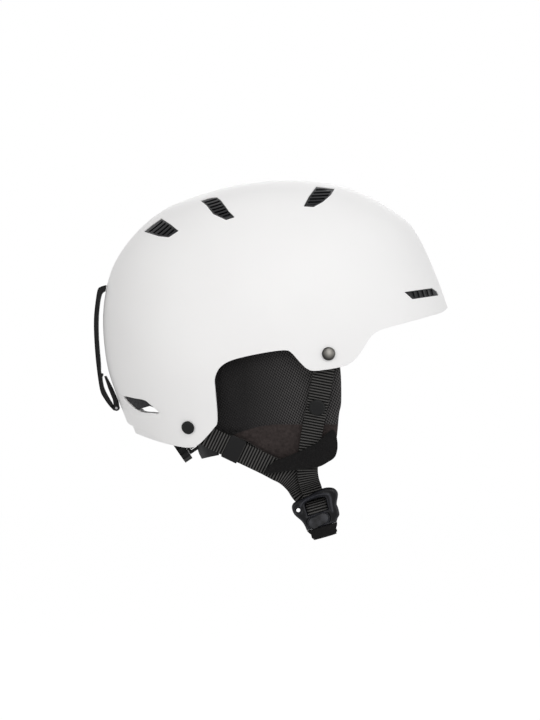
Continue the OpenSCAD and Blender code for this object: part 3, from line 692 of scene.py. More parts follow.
comfort_pad("pad_brow", "brow_pad", side_field([(62, 36), (70, 4), (160, 6), (160, 30), (110, 36)]),
    BROW_T, (3.6, 7.4), (-1.25, 1.25), [((100, -30, 0), (92, -30, 40)), ((100, 30, 0), (92, 30, 40))])
comfort_pad("pad_rear", "rear_pad", side_field([(-160, 34), (-74, 34), (-66, 12), (-160, 0)]),
    COMFORT_T, (3.6, 7.6), (math.pi - 1.1, math.pi + 1.1), [((-92, -18, 0), (-84, -18, 40)),
    ((-92, 18, 0), (-84, 18, 40))])
comfort_pad("pad_crown", "crown_pad", crown_field, COMFORT_T, (0, 3.6), None,
    [((-40, -10, 70), (60, -10, 70)), ((-40, 10, 70), (60, 10, 70))])
SIDE_PAD = [(-40, 8), (36, 8), (30, 34), (-34, 34)]
comfort_pad("pad_side_right", "side_pad_right", side_field(SIDE_PAD, 20), COMFORT_T, (3.6, 6.8),
    (math.pi * 1.5 - 0.9, math.pi * 1.5 + 0.9))
comfort_pad("pad_side_left", "side_pad_left", lambda p: side_field(SIDE_PAD, 20)(p * [1, -1, 1]),
    COMFORT_T, (3.6, 6.8), (math.pi * 0.5 - 0.9, math.pi * 0.5 + 0.9))


# ---- Goggle clip ----
# A moulded black clip on the back holds the goggle strap. Its band springs between two knuckles on
# a steel pin, and each side of the band has a lengthwise groove left by the mould.

black_plastic, shader, space = finish("satin_black_plastic", {"Roughness": 0.36,
    "Specular IOR Level": 0.15})
pebble = space.noise(1100, 2, 0.6)
wipe = space.noise(45, 3)
drive(shader, Base_Color=wipe.mix((0.0050, 0.0050, 0.0054, 1), (0.0095, 0.0094, 0.0098, 1)),
      Roughness=0.30 + 0.16 * pebble + 0.08 * wipe, Normal=bumped(pebble, 0.14, 0.0001))

CLIP_W = 28
HINGE = np.array([-114.6, -78.4])


def prism(name, outline, low, high, inset=0, sink=0):
    """A side outline carried across from y low to y high, its end faces inset and sunk."""
    bm = bmesh.new()
    faces = []
    for y in (low, high):
        ring = [bm.verts.new((x * MM, y * MM, z * MM)) for x, z in outline]
        faces.append((bm.faces.new(ring), ring))
    a, b = faces[0][1], faces[1][1]
    for i in range(len(a)):
        j = (i + 1) % len(a)
        bm.faces.new((a[i], a[j], b[j], b[i]))
    bmesh.ops.recalc_face_normals(bm, faces=bm.faces)
    if inset:
        bmesh.ops.inset_individual(bm, faces=[f for f, _ in faces], thickness=inset * MM,
            depth=-sink * MM, use_even_offset=True)
    mesh = bpy.data.meshes.new(name)
    bm.to_mesh(mesh)
    bm.free()
    obj = bpy.data.objects.new(name, mesh)
    bpy.context.scene.collection.objects.link(obj)
    return obj


def round_edges(obj, width):
    bevelled(obj, width, 32, 3)
    apply_modifiers(obj)


def joined(name, *objs):
    """One object from several."""
    bm = bmesh.new()
    for obj in objs:
        bm.from_mesh(obj.data)
    mesh = bpy.data.meshes.new(name)
    bm.to_mesh(mesh)
    bm.free()
    for obj in objs:
        bpy.data.objects.remove(obj)
    whole = bpy.data.objects.new(name, mesh)
    bpy.context.scene.collection.objects.link(whole)
    return whole


outer_line = smooth_line([(-122.9, 19.8), (-127.4, 18.4), (-129.8, 15.4), (-131.8, 2), (-132.6, -9.4),
    (-132.2, -24.3), (-130.7, -42.9), (-127.8, -63.3), (-124.4, -70.8), (-119.6, -77.5)], steps=4)
inner_line = smooth_line([(-117.6, -75.4), (-121.8, -68.4), (-124.9, -61.6), (-126.2, -54.2),
    (-125.6, -52.6), (-125.6, -50.8), (-127.2, -49.8), (-127.4, -42.9), (-128.9, -24.3), (-129.2, -9.4),
    (-128.4, 3), (-126.6, 12.4), (-123.8, 15)], steps=4)
band_strip = prism("strip", np.vstack([outer_line, inner_line]), -CLIP_W / 2, CLIP_W / 2, 0.75, 0.55)
round_edges(band_strip, 0.35)
knuckle_w = CLIP_W * 0.54
foot = prism("foot", [(-119.6, -77.5), (-117.6, -75.4), (-114.6, -76.4), (-114.6, -80.4), (-117, -80.3)],
    -knuckle_w / 2, knuckle_w / 2)
roll = prism("roll", [HINGE + 2.3 * np.array([math.cos(a), math.sin(a)])
    for a in np.linspace(0, 2 * math.pi, 40, endpoint=False)], -knuckle_w / 2, knuckle_w / 2)
round_edges(roll, 0.35)
clip_band = joined("goggle_band", band_strip, foot, roll)
smooth(clip_band, 35)
clip_band.data.materials.append(black_plastic)
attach(clip_band, "goggle_clip")
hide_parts("goggle_clip_band")
carried("goggle_clip_base", black_plastic, 0.5)

steel, shader, space = finish("brushed_steel", {"Metallic": 1.0})
scratch = space.noise(420, 3)
drive(shader, Base_Color=scratch.mix((0.28, 0.28, 0.29, 1), (0.42, 0.42, 0.43, 1)),
      Roughness=0.28 + 0.15 * scratch)
carried("goggle_clip_pin", steel)


# ---- Rivets ----
# Domed rivets clamp the webbing behind the shell. The front pair is gunmetal with a painted highlight
# on each dome that fades to painted shade at its rim, the rear pair matt black, and each has a plain
# washer hidden inside.

gunmetal, shader, space = finish("gunmetal_painted_highlight", {"Coat Weight": 0.2, "Coat Roughness": 0.3})
low, high = (Vector(corner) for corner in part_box("front_rivets"))
rivet_at = Vector(((low.x + high.x) / 2, 0, (low.z + high.z) / 2))
HIGHLIGHT_R = 5.2              # millimetres from the painted highlight's spot to where it has almost faded to painted shade
HIGHLIGHT_SHIFT = 0.6            # millimetres that the painted highlight lies forward and up from the middle
flat_place = space.add("ShaderNodeVectorMath", {"operation": "MULTIPLY"}, {0: space, 1: (1, 0, 1)})
from_axis = flat_place.add("ShaderNodeVectorMath", {"operation": "DISTANCE"},
    {0: flat_place, 1: rivet_at + Vector((HIGHLIGHT_SHIFT, 0, HIGHLIGHT_SHIFT)) * MM}, 1)
# Painted highlight: the colour is lightest at a spot on each front rivet and darkens to painted shade at the
# rim
painted_highlight = (1.05 - from_axis * (1 / (HIGHLIGHT_R * MM))).clamped().power(1.3)
smear = space.noise(160, 3)
drive(shader, Base_Color=(painted_highlight * (0.85 + 0.3 * smear)).mix((0.010, 0.009, 0.008, 1),
      (0.34, 0.325, 0.30, 1)), Roughness=0.34 + 0.12 * smear, Metallic=0.80 + 0.1 * smear)
carried("front_rivets", gunmetal, 0.35, 30)

matt_black, shader, space = finish("matt_black_enamel", {"Specular IOR Level": 0.2})
dust = space.noise(700, 2)
drive(shader, Base_Color=dust.mix((0.0045, 0.0046, 0.0048, 1), (0.009, 0.0091, 0.0095, 1)),
      Roughness=0.48 + 0.15 * dust, Normal=bumped(dust, 0.15, 0.0001))
carried("rear_rivets", matt_black, 0.35, 30)
carried("rivet_washers", steel, 0.2)


# ---- Webbing ----
# Black nylon webbing, 16.5 mm wide with a ribbed weave, runs from the rivets down each side. The
# two webs of a side meet at the buckle on the right and at the keeper on the left.

WEB_W = 16.5
WEB_T = 1.4
WEB_RIB = 2.3
RIB_DEPTH = 0.3             # millimetres from the top of a rib to the bottom beside it
WEB_STEP = 0.38             # millimetres between points along a web

webbing, shader, space = finish("ribbed_nylon_webbing", {"Specular IOR Level": 0.04,
    "Sheen Weight": 0.03, "Sheen Roughness": 0.4, "Sheen Tint": (0.6, 0.6, 0.62, 1)})
thread = space.noise(1500, 2, 0.7)
fade = space.noise(70, 3)
ridge = space.add("ShaderNodeAttribute", {"attribute_name": "ridge"}, {}, 2)
# Painted highlight and shade: rib tops are painted light and the grooves between them painted dark
drive(shader, Base_Color=(ridge.power(2.4) * (0.35 + 0.6 * thread + 0.35 * fade)).mix(
      (0.0005, 0.0005, 0.0006, 1), (0.115, 0.112, 0.109, 1)), Roughness=0.62 + 0.22 * thread,
      Normal=bumped(thread, 0.4, 0.0003))

BUCKLE = np.array([46.0, -60.0, -160.0])
BUCKLE_ROLL = math.radians(16)


def at_buckle(points):
    """Buckle frame to helmet frame: x across the buckle, y up it, z out of the right side."""
    c, s = math.cos(BUCKLE_ROLL), math.sin(BUCKLE_ROLL)
    return [(BUCKLE[0] + c * x - s * y, BUCKLE[1] - z, BUCKLE[2] + s * x + c * y)
            for x, y, z in points]


def dense(path, spacing):
    """Evenly spaced points of a curve that passes through the path with little overshoot."""
    p = np.array(path, float)
    p = np.vstack([2 * p[0] - p[1], p, 2 * p[-1] - p[-2]])
    gaps = np.linalg.norm(np.diff(p, axis=0), axis=1) ** 0.5
    t = np.concatenate([[0], np.cumsum(gaps)])
    fine = []
    for i in range(1, len(p) - 2):
        for s in np.linspace(t[i], t[i + 1], 40, endpoint=i == len(p) - 3):
            a = [(t[i + k] - s) / (t[i + k] - t[i + k - 1]) * p[i + k - 1]
                 + (s - t[i + k - 1]) / (t[i + k] - t[i + k - 1]) * p[i + k] for k in (0, 1, 2)]
            b = [(t[i + k] - s) / (t[i + k] - t[i + k - 2]) * a[k - 1]
                 + (s - t[i + k - 2]) / (t[i + k] - t[i + k - 2]) * a[k] for k in (1, 2)]
            fine.append((t[i + 1] - s) / (t[i + 1] - t[i]) * b[0] + (s - t[i]) / (t[i + 1] - t[i]) * b[1])
    fine = np.array(fine)
    run = np.concatenate([[0], np.cumsum(np.linalg.norm(np.diff(fine, axis=0), axis=1))])
    places = np.linspace(0, run[-1], max(int(run[-1] / spacing), 2) + 1)
    return np.stack([np.interp(places, run, fine[:, k]) for k in range(3)], 1), places


def swept(name, rows):
    """Closed body over rows of points, each row one ring round its path."""
    k = len(rows[0])
    faces = [(i * k + j, i * k + (j + 1) % k, (i + 1) * k + (j + 1) % k, (i + 1) * k + j)
             for i in range(len(rows) - 1) for j in range(k)]
    faces.append(tuple(range(k))[::-1])
    faces.append(tuple((len(rows) - 1) * k + j for j in range(k)))
    body = shape_mesh(name, np.vstack(rows), faces)
    bm = bmesh.new()
    bm.from_mesh(body.data)
    bmesh.ops.recalc_face_normals(bm, faces=bm.faces)
    bm.to_mesh(body.data)
    bm.free()
    return body


def woven_strip(name, path, half_w, half_t, across=None):
    """Flat webbing along a path, with ribs across it, rolled selvedges, and each point's rib
    height kept as the attribute that its material reads."""
    centre, places = dense(path, WEB_STEP)
    t = np.gradient(centre, axis=0)
    t /= np.linalg.norm(t, axis=1)[:, None]
    if across is None:
        w = np.stack([t[:, 2], np.zeros(len(t)), -t[:, 0]], 1)
        w /= np.linalg.norm(w, axis=1)[:, None]
    else:
        w = np.tile(across, (len(t), 1))
    d = np.cross(w, t)
    d /= np.linalg.norm(d, axis=1)[:, None]
    u = np.array([-1, -0.97, -0.9, -0.75, -0.5, -0.25, 0, 0.25, 0.5, 0.75, 0.9, 0.97, 1])
    lift = np.array([0.35, 0.8, 1, 0.9, 0.9, 0.9, 0.9, 0.9, 0.9, 0.9, 1, 0.8, 0.35])
    ring_u = np.concatenate([u, u[::-1]])
    ring_v = np.concatenate([lift, -lift[::-1]])
    rows = []
    ridge = (0.5 + 0.5 * np.cos(2 * np.pi * places / WEB_RIB)) ** 0.7
    for c, wd, dd, high in zip(centre, w, d, ridge):
        wave = half_t - RIB_DEPTH * (1 - high)
        rows.append(c + np.outer(ring_u * half_w, wd) + np.outer(ring_v * wave, dd))
    strip = swept(name, rows)
    heights = strip.data.attributes.new("ridge", "FLOAT", "POINT")
    heights.data.foreach_set("value", np.repeat(ridge, len(ring_u)).astype(np.float32))
    smooth(strip, 50)
    return strip


FRONT_WEB = [(54.6, -94.3, -26.5), (50.4, -93.6, -49), (46.3, -87.6, -70.4), (43.2, -82.4, -86),
    (39.4, -75.4, -108), (37.6, -69.4, -126), (38.6, -62.5, -135)]
REAR_WEB = [(-63, -71.8, -92.6), (-56.5, -75.2, -93), (-40, -81.3, -101), (-33.1, -80.03, -104.33),
    (-17, -77.05, -112.1), (6, -72.8, -123.2), (13, -70.2, -127), (20, -68.6, -130.6), (28, -59.5, -138)]
WEB_ENDS = {"front_web_right": (FRONT_WEB, [(0, 17.6, -5.5), (0, 11, -5.5), (0, 8, -3.6),
        (0, 4.6, -1.2), (0, 1, 0.2), (0, -0.4, 0.3)]),
    "front_web_left": (FRONT_WEB, [(0, 16, 3.4), (0, 9.5, 1.8), (0, -0.5, 1.7)]),
    "rear_web_right": (REAR_WEB, [(-8, 16.5, -8.2), (-2, 8, -7.4), (0, 2, -7.2)]),
    "rear_web_left": (REAR_WEB, [(-6, 18, -5), (0, 11, -2), (0, 8, -1.7), (0, -0.5, -1.7)])}
for node, (run, ending) in WEB_ENDS.items():
    web = woven_strip("webbing_" + node, run + at_buckle(ending), WEB_W / 2, WEB_T / 2)
    if node.endswith("left"):
        right = web
        web = mirrored(right, "webbing_" + node + "_side")
        bpy.data.objects.remove(right)
    web.data.materials.append(webbing)
    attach(web, "helmet")
    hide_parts(node)
for node in ("strap_adjuster_right", "strap_adjuster_left"):
    carried(node, black_plastic, 1.2, 32, 4)
carried("snap_buttons", matt_black, 0.35)
carried("snap_sockets", black_plastic, 0.2)


# ---- Ear pads ----
# Removable ear pads snap onto the webbing. The outer face is black mesh above a puckered seam and
# brown-black fleece below it, with a bound edge, over soft foam.

EAR_T = 14
EAR_LEAN = math.radians(16)
EAR_TOP = (-93.5, -36)
EAR_LINE = smooth_line([(-37, -48), (-31, -38), (-12, -31), (14, -28), (28, -33), (40, -42), (60, -42),
    (63.6, -50), (64.3, -74), (62.6, -84), (60.6, -104), (56.8, -117.4), (46, -123.4), (30, -125),
    (16, -120), (3, -114), (-12, -105), (-24, -101), (-33, -99.5), (-38.5, -93), (-38, -66)],
    closed=True, steps=5)
MESH_RISE = math.radians(16)
HOLE_PITCH = 2.3            # millimetres along a row of the mesh
ROW_PITCH = 1.5
EAR_SEAM = smooth_line([(-30, -97), (-15.4, -96.6), (0.3, -93), (16.7, -90.9), (31.7, -90.9),
    (50, -92), (66, -95)], steps=6)


def off_line(flat, line):
    """Distance to an open line, and whether each point is below it."""
    best = np.full(len(flat), 1e9)
    for a, b in zip(line[:-1], line[1:]):
        e = b - a
        k = np.clip((flat - a) @ e / (e @ e), 0, 1)
        best = np.minimum(best, np.hypot(*(flat - a - k[:, None] * e).T))
    return best, flat[:, 1] < np.interp(flat[:, 0], line[:, 0], line[:, 1])


def ear_place(flat, w):
    """Ear pad frame to helmet frame: flat is side view x and z at the outer face, w is outward."""
    u = (flat[:, 1] - EAR_TOP[1]) / math.cos(EAR_LEAN)
    return np.stack([flat[:, 0], EAR_TOP[0] - w * math.cos(EAR_LEAN) - u * math.sin(EAR_LEAN),
        EAR_TOP[1] - w * math.sin(EAR_LEAN) + u * math.cos(EAR_LEAN)], 1)


def edge_distance(flat, outline, holes=()):
    """Distance to the nearest edge of an outline with holes, positive on the material."""
    return np.minimum.reduce([inside_distance(flat, outline)]
                             + [-inside_distance(flat, hole) for hole in holes])


SHEET_MARGIN = 1.5          # millimetres of grid round an outline, which the trimming takes off


def flat_sheet(name, outline, step, holes=()):
    """Fine flat grid over an outline, trimmed to it and to its holes; heights are set later."""
    low, high = outline.min(axis=0) - SHEET_MARGIN, outline.max(axis=0) + SHEET_MARGIN
    xs = np.arange(low[0], high[0] + step, step)
    zs = np.arange(low[1], high[1] + step, step)
    grid = np.array([(x, 0, z) for z in zs for x in xs])
    k = len(xs)
    faces = [(j * k + i, j * k + i + 1, (j + 1) * k + i + 1, (j + 1) * k + i)
             for j in range(len(zs) - 1) for i in range(k - 1)]
    sheet = shape_mesh(name, grid, faces)
    trimmed(sheet.data, lambda p: edge_distance(p[:, [0, 2]], outline, holes))
    return sheet


def raised(obj, outer, inner, placed=ear_place):
    """Closes a flat sheet into a solid between two heights above its plane, then puts it there."""
    bm = bmesh.new()
    bm.from_mesh(obj.data)
    made = bmesh.ops.extrude_face_region(bm, geom=bm.faces[:], use_keep_orig=True)
    back = {v for v in made["geom"] if isinstance(v, bmesh.types.BMVert)}
    for group, height in (([v for v in bm.verts if v not in back], outer), (list(back), inner)):
        flat = np.array([(v.co.x, v.co.z) for v in group]) / MM
        for vertex, place in zip(group, placed(flat, height(flat))):
            vertex.co = Vector(place) * MM
    bmesh.ops.recalc_face_normals(bm, faces=bm.faces)
    bm.to_mesh(obj.data)
    bm.free()


def ear_outer(flat):
    edge = inside_distance(flat, EAR_LINE)
    gap, below = off_line(flat, EAR_SEAM)
    height = -4.5 * (1 - crowned(edge, 6.0, 0))
    height -= 0.7 * bead_profile(edge - 5.2, 0.7)
    height -= 1.0 * bead_profile(gap, 0.9)
    pucker = np.sin(flat[:, 0] * 1.35 + 0.8 * np.sin(flat[:, 0] * 0.37)) * bead_profile(gap, 5.0)
    height += 0.32 * pucker - 0.3
    height -= np.where(below, 0.35, 0.0) * smooth_step(gap, 0, 2)
    return height - 0.25 * np.sin(flat[:, 0] * 0.21 + flat[:, 1] * 0.13)


def ear_inner(flat):
    edge = inside_distance(flat, EAR_LINE)
    ear = np.hypot((flat[:, 0] - 8) / 24, (flat[:, 1] + 72) / 28)
    return -EAR_T + 5.5 * (1 - crowned(edge, 8.0, 0)) + 2.6 * smooth_step(-ear, -1.15, -0.75)


ear_cloth, shader, space = finish("ear_pad_cloth", {"Specular IOR Level": 0.08,
    "Sheen Weight": 0.04, "Sheen Roughness": 0.45, "Sheen Tint": (0.55, 0.53, 0.52, 1)})
axes = space.add("ShaderNodeSeparateXYZ", {}, {0: space})
side_x, side_z = (Shade(space.tree, axes.socket.node.outputs[k]) for k in (0, 2))
along_row = side_x * math.cos(MESH_RISE) + side_z * math.sin(MESH_RISE)
over_rows = side_z * math.cos(MESH_RISE) - side_x * math.sin(MESH_RISE)
holes = (space.sum("SINE", along_row * (2000 * math.pi / HOLE_PITCH))
         * space.sum("SINE", over_rows * (1000 * math.pi / ROW_PITCH)))
behind = space.sum("MAXIMUM", 0.0167 - side_x, 0)
fleece_zone = ((-0.0909 - 6 * behind * behind - side_z) * 900 + 0.5).clamped()
mesh_zone = 1 - fleece_zone
# Painted shade: toward the rear the mesh is painted darker, as under the shell's edge, and its holes fade
# into a plainer weave
weave_and_painted_shade_ramp = ((side_x + 0.012) * 24).clamped()
wool = space.noise(420, 4, 0.65)
fuzz = space.noise(130, 4, 0.6)
thread = space.noise(1300, 2)
net_tone_and_painted_shade = (0.5 - 0.75 * holes * (0.3 + 0.7 * weave_and_painted_shade_ramp)) * (0.22 + 0.6 * weave_and_painted_shade_ramp) + 0.12 * thread
net = net_tone_and_painted_shade.clamped().mix((0.0022, 0.0021, 0.0023, 1), (0.094, 0.090, 0.090, 1))
fleece = (1.3 * wool + 0.4 * fuzz - 0.36).clamped().mix((0.012, 0.0095, 0.0090, 1), (0.064, 0.051, 0.049, 1))
drive(shader, Base_Color=space.add("ShaderNodeMix", {"data_type": "RGBA"},
      {0: fleece_zone, 6: net, 7: fleece}, 2), Roughness=0.74 + 0.2 * wool,
      Normal=bumped(0.4 * thread - 1.1 * holes * mesh_zone + 1.6 * wool * fleece_zone, 0.5, 0.0005))

ear_pad = flat_sheet("ear_cushion", EAR_LINE, 1.1)
raised(ear_pad, ear_outer, ear_inner)
smooth(ear_pad, 70)
ear_pad.data.materials.append(ear_cloth)
for pad in pair(ear_pad, "ear_cushion", "ear_pad", "helmet"):
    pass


# ---- Ear pad bands ----
# A flat band of bonded fabric is stitched across the lower front of each ear pad and keeps the
# webbing close to it.

BAND_LOW = WEB_T + 3.8
BAND_LINE = smooth_line([(57.5, -93.1), (61.4, -104.3), (59.7, -114.4), (54, -119), (45.2, -123.3),
    (29.4, -125.2), (14, -127), (4.4, -127.4), (3.2, -126.2), (8, -121.4), (13.6, -117.4),
    (18, -116), (31, -110.8), (45.3, -103.6)], closed=True, steps=3)


def band_floor(flat):
    """Height of the band's inner face, which rises over the rear webbing at its lower end."""
    return BAND_LOW + 2.4 * smooth_step(-flat[:, 1], 120, 127) * (1 - smooth_step(flat[:, 0], 8, 20))


def band_face(flat):
    edge = inside_distance(flat, BAND_LINE)
    hem = 0.35 * bead_profile(edge - 2.2, 0.4)
    return band_floor(flat) + 1.4 * crowned(edge, 1.6, 0.35) - hem


band = flat_sheet("ear_band", BAND_LINE, 1.2)
raised(band, band_face, band_floor)
tabs = []
for corners in ([(57.4, -98), (58.8, -104), (55.4, -115), (53.4, -116.5)],
        [(22, -117), (27.3, -114.8), (28.6, -116.4), (24.5, -119)]):
    tab = flat_sheet("tab", np.array(corners, float), 1.2)
    raised(tab, lambda flat: np.full(len(flat), BAND_LOW + 0.1), lambda flat: np.full(len(flat), -0.6))
    tabs.append(tab)
band = joined("ear_pad_band", band, *tabs)
smooth(band, 50)
band.data.materials.append(knit)
pair(band, "ear_pad_band", "ear_band", "helmet")


# ---- Buckle and chin strap ----
# A side-release buckle moulded in black acetal joins the harness under the jaw. The chin strap runs
# from its tongue through a soft sleeve to the keeper on the left.

BUCKLE_T = 9
MOUTH = -12
BUCKLE_LINE = smooth_line([(-14, 12.6), (-17.6, 11.2), (-19.2, 8), (-18.6, 2.6), (-14.6, -3.6),
    (-13.2, -8), (-12.7, MOUTH + 0.5), (-12.5, MOUTH), (-12, MOUTH), (11.5, MOUTH), (12, MOUTH),
    (12.2, MOUTH + 0.5), (13.6, -9.2), (15.8, -6.8), (16.2, -1), (16, 2), (19, 8.6), (18.6, 12.4),
    (15.8, 15.2), (8.4, 16.6), (-4, 14.2)], closed=True, steps=3)
WINDOW = smooth_line([(-8.0, 8.6), (-4, 9.6), (2, 10.1), (7.6, 9.3), (8.4, 7.6), (8.0, 1.6), (7, -0.2),
    (-7, -0.8), (-8.1, 0.8), (-8.3, 4)], closed=True, steps=3)
EYELET = [(-14.7 + 1.6 * math.cos(a), 5.3 + 1.6 * math.sin(a)) for a in np.linspace(0, 6.0, 20)]
BOSS_TURN = math.radians(10)
BOSS = (-1.6, -7)
BOSS_LONG, BOSS_R = 8.2, 3.9
BOSS_PLAY = 0.45
BEAD = smooth_line([(-12.4, 7.6), (-10.4, 9.8), (-7, 11.4), (0.4, 12.6), (6.4, 12.4), (11, 11),
    (12.2, 8), (11.4, 2), (11, -3)])


def boss_outline(grow):
    turn = np.linspace(0, 2 * math.pi, 48, endpoint=False)
    x = (BOSS_R + grow) * np.cos(turn) + np.sign(np.cos(turn)) * (BOSS_LONG - BOSS_R)
    y = (BOSS_R + grow) * np.sin(turn)
    c, s = math.cos(BOSS_TURN), math.sin(BOSS_TURN)
    return np.stack([BOSS[0] + c * x - s * y, BOSS[1] + s * x + c * y], 1)


def buckle_place(flat, height):
    return np.array(at_buckle(np.column_stack([flat, height])))


def buckle_face(flat):
    """Front of the buckle: rounded bars, a raised bead on the top bar, a groove round the boss."""
    edge = edge_distance(flat, BUCKLE_LINE, (WINDOW, EYELET))
    shoulder = 1.2 + 2.2 * smooth_step(flat[:, 1], MOUTH, MOUTH + 4)
    face = BUCKLE_T / 2 - 0.85 * shoulder * (1 - crowned(edge / shoulder, 1, 0))
    face += 0.8 * bead_profile(off_line(flat, BEAD)[0], 0.75) * smooth_step(edge, 0.2, 1.0)
    return face - 0.9 * bead_profile(inside_distance(flat, boss_outline(1.3)), 0.6)


def buckle_back(flat):
    edge = edge_distance(flat, BUCKLE_LINE, (WINDOW, EYELET))
    return -BUCKLE_T / 2 + 1.6 * (1 - crowned(edge, 1.8, 0))


acetal, shader, space = finish("glossy_black_acetal", {"Specular IOR Level": 0.17})
pebble = space.noise(900, 2)
handling = space.noise(80, 3)
rubbed = space.add("ShaderNodeAttribute", {"attribute_name": "rubbed"}, {}, 2)
# Base colour is lifted where the buckle's painted highlights lie, with random handling marks over it
drive(shader, Base_Color=(rubbed * (0.6 + 0.6 * handling) + 0.04 * handling).clamped().mix(
      (0.0015, 0.0015, 0.0022, 1), (0.036, 0.037, 0.045, 1)),
      Roughness=0.24 + 0.12 * handling + 0.06 * pebble, Normal=bumped(pebble, 0.10, 0.0001))

buckle = flat_sheet("buckle_body", BUCKLE_LINE, 0.45, (WINDOW, EYELET, boss_outline(BOSS_PLAY)))
raised(buckle, buckle_face, buckle_back, buckle_place)
slot_corners = [(x, y, z) for x in (-7.8, 7.8) for y in (MOUTH - 1, MOUTH + 8.6) for z in (-1.7, 1.3)]
slot_cut = shape_mesh("mouth_cut", np.array(at_buckle(slot_corners)),
    [(0, 1, 3, 2), (4, 6, 7, 5), (0, 4, 5, 1), (2, 3, 7, 6), (0, 2, 6, 4), (1, 5, 7, 3)])
mouth = buckle.modifiers.new("mouth", "BOOLEAN")
mouth.operation = "DIFFERENCE"
mouth.solver = "EXACT"
mouth.object = slot_cut
apply_modifiers(buckle)
bpy.data.objects.remove(slot_cut)
smooth(buckle, 50)

# Painted highlights: the bead, the edges and the rim round the boss are painted lighter, on the outer face
# only
spots = np.array([vertex.co[:] for vertex in buckle.data.vertices]) / MM - BUCKLE
c, s = math.cos(BUCKLE_ROLL), math.sin(BUCKLE_ROLL)
flat = np.stack([c * spots[:, 0] + s * spots[:, 2], c * spots[:, 2] - s * spots[:, 0]], 1)
painted_highlight_mask = bead_profile(off_line(flat, BEAD)[0], 0.8)
painted_highlight_mask += 0.5 * bead_profile(edge_distance(flat, BUCKLE_LINE, (WINDOW, EYELET)) - 1.1, 0.5)
painted_highlight_mask += 0.7 * bead_profile(inside_distance(flat, boss_outline(0.25)) + 0.5, 0.35)
painted_highlight_mask *= spots[:, 1] < -1
buckle.data.attributes.new("rubbed", "FLOAT", "POINT").data.foreach_set("value",
    np.clip(painted_highlight_mask, 0, 1).astype(np.float32))
buckle.data.materials.append(acetal)
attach(buckle, "helmet")
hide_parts("buckle_female")
smudged_sheen_acetal, shader, space = finish("acetal_smudges_and_painted_sheen", {"Specular IOR Level": 0.3})
# Random lighter blotches on the button: partly smudges, partly a painted sheen standing in for its gloss
smudges_and_painted_sheen = space.noise(140, 2).ramp((0.35, 0.0), (0.72, 1.0))
drive(shader, Base_Color=smudges_and_painted_sheen.mix((0.006, 0.006, 0.0072, 1), (0.036, 0.037, 0.043, 1)),
      Roughness=0.22 + 0.2 * smudges_and_painted_sheen)
carried("buckle_button", smudged_sheen_acetal, 0.9, 30, 4)
carried("buckle_male", black_plastic, 0.5, 30, 4)
carried("strap_keeper", black_plastic, 0.8, 30, 4)

MALE_LOW = -15.5
CHIN_LOW = -18.2
CHIN_Y = 60
CHIN = [(-CHIN_Y, -13.8), (-CHIN_Y, MALE_LOW - 0.3), (-CHIN_Y + 1, CHIN_LOW + 1), (-CHIN_Y + 4, CHIN_LOW),
    (-40, CHIN_LOW - 0.4), (-20, CHIN_LOW - 0.7), (0, CHIN_LOW - 0.8), (20, CHIN_LOW - 0.7),
    (40, CHIN_LOW - 0.4), (CHIN_Y - 4, CHIN_LOW), (CHIN_Y - 1, CHIN_LOW + 1.6), (CHIN_Y, CHIN_LOW + 4),
    (CHIN_Y, -6), (CHIN_Y, 8.5)]
chin_path = [(BUCKLE[0] - math.sin(BUCKLE_ROLL) * up, y, BUCKLE[2] + math.cos(BUCKLE_ROLL) * up)
    for y, up in CHIN]
chin_across = np.array([math.cos(BUCKLE_ROLL), 0, math.sin(BUCKLE_ROLL)])
chin = woven_strip("chin_webbing", chin_path, WEB_W / 2, WEB_T / 2, chin_across)
chin.data.materials.append(webbing)
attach(chin, "chin")
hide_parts("chin_strap")

SLEEVE_HALF_W = 10.5
SLEEVE_HALF_T = 2.45
centre, places = dense(chin_path[3:10], 1.0)
t = np.gradient(centre, axis=0)
t /= np.linalg.norm(t, axis=1)[:, None]
rows = []
for i, (c, direction, s) in enumerate(zip(centre, t, places)):
    up = np.cross(chin_across, direction)
    up /= np.linalg.norm(up)
    end = min(s, places[-1] - s)
    swell = 0.86 + 0.14 * float(crowned(np.array([end]), 3.0, 0)[0])
    turn = np.linspace(0, 2 * math.pi, 40, endpoint=False)
    around = np.sign(np.cos(turn)) * np.abs(np.cos(turn)) ** 0.45 * SLEEVE_HALF_W * swell
    over = (np.sign(np.sin(turn)) * np.abs(np.sin(turn)) ** 0.75 * SLEEVE_HALF_T
            * (swell + 0.03 * math.sin(s * 0.9)))
    rows.append(c + np.outer(around, chin_across) + np.outer(over, up))
tube = swept("tube", rows)
BOOT_LINE = smooth_line([(-12.4, -12.5), (-12.1, -12.2), (0, -12.2), (11.9, -12.2), (12.1, -12.5),
    (11.6, -14.4), (10, -17), (9.4, -20.2), (8.6, -20.9), (0, -21.1), (-8.6, -20.9), (-9.4, -20.2),
    (-10, -16.8), (-11.8, -14)], closed=True, steps=3)
boot = flat_sheet("boot", BOOT_LINE, 0.6)
raised(boot, lambda flat: 4.2 - 1.3 * (1 - crowned(inside_distance(flat, BOOT_LINE), 1.8, 0))
       - 0.3 * bead_profile(inside_distance(flat, BOOT_LINE) - 1.7, 0.3),
       lambda flat: -4.0 + 1.0 * (1 - crowned(inside_distance(flat, BOOT_LINE), 1.5, 0)), buckle_place)
sleeve = joined("chin_pad_sleeve", tube, boot)
smooth(sleeve, 50)
sleeve.data.materials.append(knit)
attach(sleeve, "chin")
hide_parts("chin_sleeve")


# ---- Fit system ----
# Under the nape, a dial on a toothed pinion draws two flexible rack bands around the head. They run
# in a nylon housing that hangs from the temples, with a soft pad against the neck.

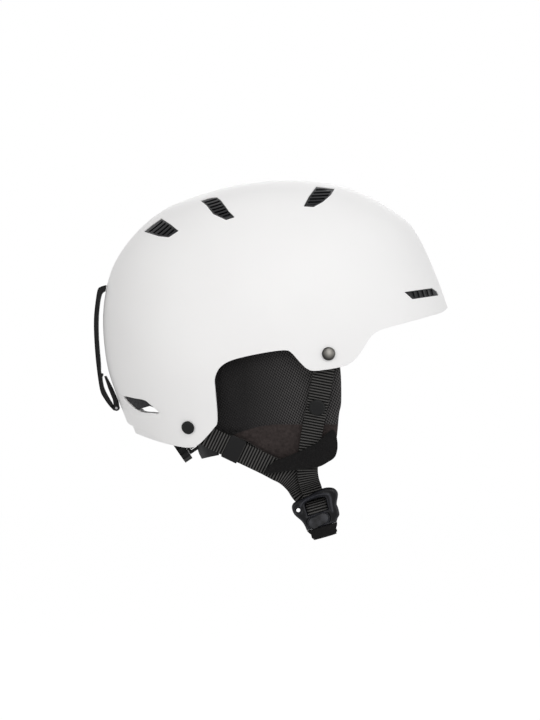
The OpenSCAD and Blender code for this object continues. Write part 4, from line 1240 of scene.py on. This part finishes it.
band_plastic, shader, space = finish("flexible_nylon", {"Specular IOR Level": 0.25})
haze = space.noise(600, 2)
drive(shader, Base_Color=haze.mix((0.006, 0.006, 0.0065, 1), (0.011, 0.011, 0.012, 1)),
      Roughness=0.42 + 0.15 * haze, Normal=bumped(haze, 0.12, 0.0001))
for node in ("fit_band_right", "fit_band_left"):
    carried(node, band_plastic, 0.4)
carried("fit_cradle", black_plastic, 0.7)
carried("fit_dial", black_plastic, 0.6)

pale_plastic, shader, space = finish("pale_acetal", {"Specular IOR Level": 0.45})
milk = space.noise(300, 2)
drive(shader, Base_Color=milk.mix((0.62, 0.62, 0.60, 1), (0.70, 0.70, 0.67, 1)), Roughness=0.4 + 0.1 * milk)
carried("dial_pinion", pale_plastic, 0.15)

DIAL = np.array([-62.4, 0.0, -104.9])
DIAL_LEAN = math.radians(34)


def at_dial(points):
    """Dial frame to helmet frame: x inward from the dial, y across, z up."""
    c, s = math.cos(DIAL_LEAN), math.sin(DIAL_LEAN)
    return np.stack([DIAL[0] + c * points[:, 0] - s * points[:, 2], points[:, 1],
        DIAL[2] + s * points[:, 0] + c * points[:, 2]], 1)


def nape_inside(y, z):
    box = np.hypot(np.maximum(np.abs(y) - 8, 0), z)
    return 9 - box


ys, zs = np.arange(-17.5, 17.6, 0.7), np.arange(-9.8, 9.9, 0.7)
grid = np.array([(0, y, z) for z in zs for y in ys])
k = len(ys)
faces = [(j * k + i, j * k + i + 1, (j + 1) * k + i + 1, (j + 1) * k + i)
    for j in range(len(zs) - 1) for i in range(k - 1)]
nape = shape_mesh("nape_cushion", grid, faces)
trimmed(nape.data, lambda p: nape_inside(p[:, 1], p[:, 2]))
bm = bmesh.new()
bm.from_mesh(nape.data)
made = bmesh.ops.extrude_face_region(bm, geom=bm.faces[:], use_keep_orig=True)
front = {v for v in made["geom"] if isinstance(v, bmesh.types.BMVert)}
for vertex in bm.verts:
    flat = np.array([vertex.co[:]]) / MM
    edge = nape_inside(flat[:, 1], flat[:, 2])
    flat[:, 0] = 10.7 + (5.3 * crowned(edge, 4.5, 0.2) - 0.9 * bead_profile(flat[:, 1], 1.3)
        if vertex in front else 0)
    vertex.co = Vector(at_dial(flat)[0]) * MM
bmesh.ops.recalc_face_normals(bm, faces=bm.faces)
bm.to_mesh(nape.data)
bm.free()
smooth(nape, 60)
nape.data.materials.append(knit)
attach(nape, "fit_cradle")
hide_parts("nape_pad")
